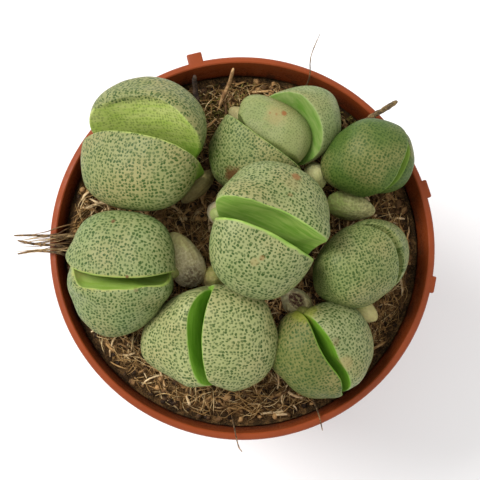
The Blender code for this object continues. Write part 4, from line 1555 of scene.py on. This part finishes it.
class SPLITROCKS_OT_strays(bpy.types.Operator):
    """Makes the twigs and root fibres that stick out, and gives the stems their bark"""

    bl_idname = "split_rocks.strays"
    bl_label = "Twigs, fibres and stems"

    def execute(self, context):
        woods = {
            "twig_dark": (srgb(34, 24, 18), srgb(84, 64, 48)),
            "twig_pale": (srgb(128, 92, 54), srgb(190, 150, 102)),
            "twig_right": (srgb(58, 44, 22), srgb(138, 112, 70)),
        }
        fibre = wood_material("stray_fibre", srgb(50, 34, 18), srgb(142, 110, 70))
        for name in STRAYS:
            piece = node_copy(name)
            subdivide(piece, 2)
            thick = name.startswith("twig")
            lump(piece, (1.2 if thick else 0.8) * MM, (0.5 if thick else 0.2) * MM, depth=3)
            if name == "twig_right" or name.startswith("fibre_left"):
                amount = (0.3 if thick else 0.1) * MM
                apply_modifier(piece, "DISPLACE", strength=amount, mid_level=0.0)
            material = wood_material(name + "_bark", *woods[name]) if thick else fibre
            finish_piece(piece, material, [name])
        bark = wood_material("stem_bark", srgb(84, 62, 36), srgb(150, 122, 78))
        for name in ROOTS:
            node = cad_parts[name]
            node.data.materials.clear()
            node.data.materials.append(bark)
        return {"FINISHED"}


# ---------------------------------------------------------------- stage
AIM = (-0.98 * MM, 1.37 * MM)  # where the camera looks, on the rim's level
LIGHT_AIM = 80 * MM  # the height that the lights point at


class SPLITROCKS_OT_stage(bpy.types.Operator):
    """Sets the floor, the soft lights and the camera"""

    bl_idname = "split_rocks.stage"
    bl_label = "Stage"

    def execute(self, context):
        self.make_floor()
        self.make_lights()
        self.make_camera()
        return {"FINISHED"}

    def make_floor(self):
        bpy.ops.object.select_all(action="DESELECT")
        bpy.ops.mesh.primitive_plane_add(size=4)
        floor = bpy.context.object
        floor.name = "floor"
        material, t, shader = new_material("pale_floor")
        shader["Base Color"].default_value = (0.93, 0.93, 0.93, 1)
        shader["Roughness"].default_value = 0.9
        floor.data.materials.append(material)

    def make_lights(self):
        for name, place, size, power in (
            ("key", (-0.72, 0.34, 0.95), 0.7, 13.5),
            ("fill", (0.7, -0.5, 0.9), 1.2, 1.5),
        ):
            light = bpy.data.lights.new(name, "AREA")
            light.shape, light.size, light.energy = "DISK", size, power
            lamp = bpy.data.objects.new(name, light)
            lamp.location = place
            way = Vector((0, 0, LIGHT_AIM)) - Vector(place)
            lamp.rotation_euler = way.to_track_quat("-Z", "Y").to_euler()
            bpy.context.scene.collection.objects.link(lamp)
        world = bpy.data.worlds.new("soft_room")
        world.use_nodes = True
        background = world.node_tree.nodes["Background"]
        background.inputs["Color"].default_value = (1, 1, 1, 1)
        background.inputs["Strength"].default_value = 0.85
        bpy.context.scene.world = world
        bpy.context.scene.view_settings.view_transform = "Standard"

    def make_camera(self):
        stage = settings("stage")
        target = Vector((*AIM, RIM_HEIGHT))
        flat = math.cos(stage.elevation)
        away = Vector((math.sin(stage.azimuth) * flat, -math.cos(stage.azimuth) * flat,
                       math.sin(stage.elevation)))
        right = (-away).cross(Vector((0, 1, 0))).normalized()
        up = right.cross(-away)
        camera = bpy.data.cameras.new("camera")
        camera.lens = stage.lens
        camera.sensor_width = 36
        eye = bpy.data.objects.new("camera", camera)
        turn = Matrix((right, up, away)).transposed()
        eye.matrix_world = Matrix.Translation(target + away * stage.distance) @ turn.to_4x4()
        bpy.context.scene.collection.objects.link(eye)
        bpy.context.scene.camera = eye


# ---------------------------------------------------------------- panel and registration
class VIEW3D_PT_split_rocks(bpy.types.Panel):
    bl_label = "Split Rocks"
    bl_space_type = "VIEW_3D"
    bl_region_type = "UI"
    bl_category = "Split Rocks"

    def draw(self, context):
        for part, operators in PANEL_ROWS:
            box = self.layout.box()
            if part:
                group = settings(part)
                for name in group.__annotations__:
                    box.prop(group, name)
            for operator in operators:
                box.operator(operator.bl_idname)


SETTINGS = {"pot": PotSettings, "leaf": LeafSettings, "soil": SoilSettings, "stage": StageSettings}
OPERATORS = (SPLITROCKS_OT_pot, SPLITROCKS_OT_soil, SPLITROCKS_OT_leaves, SPLITROCKS_OT_folds,
             SPLITROCKS_OT_withered, SPLITROCKS_OT_strays, SPLITROCKS_OT_litter,
             SPLITROCKS_OT_stage)
PANEL_ROWS = (
    ("pot", (SPLITROCKS_OT_pot,)),
    ("soil", (SPLITROCKS_OT_soil, SPLITROCKS_OT_litter)),
    ("leaf", (SPLITROCKS_OT_leaves, SPLITROCKS_OT_folds, SPLITROCKS_OT_withered)),
    (None, (SPLITROCKS_OT_strays,)),
    ("stage", (SPLITROCKS_OT_stage,)),
)


def register():
    for cls in (*SETTINGS.values(), *OPERATORS, VIEW3D_PT_split_rocks):
        bpy.utils.register_class(cls)
    for part, cls in SETTINGS.items():
        setattr(bpy.types.Scene, "split_rocks_" + part, PointerProperty(type=cls))


def unregister():
    for part in SETTINGS:
        delattr(bpy.types.Scene, "split_rocks_" + part)
    for cls in reversed((*SETTINGS.values(), *OPERATORS, VIEW3D_PT_split_rocks)):
        bpy.utils.unregister_class(cls)


def main():
    register()
    for operator in OPERATORS:
        getattr(bpy.ops.split_rocks, operator.bl_idname.split(".")[1])()


if __name__ == "__main__":
    main()
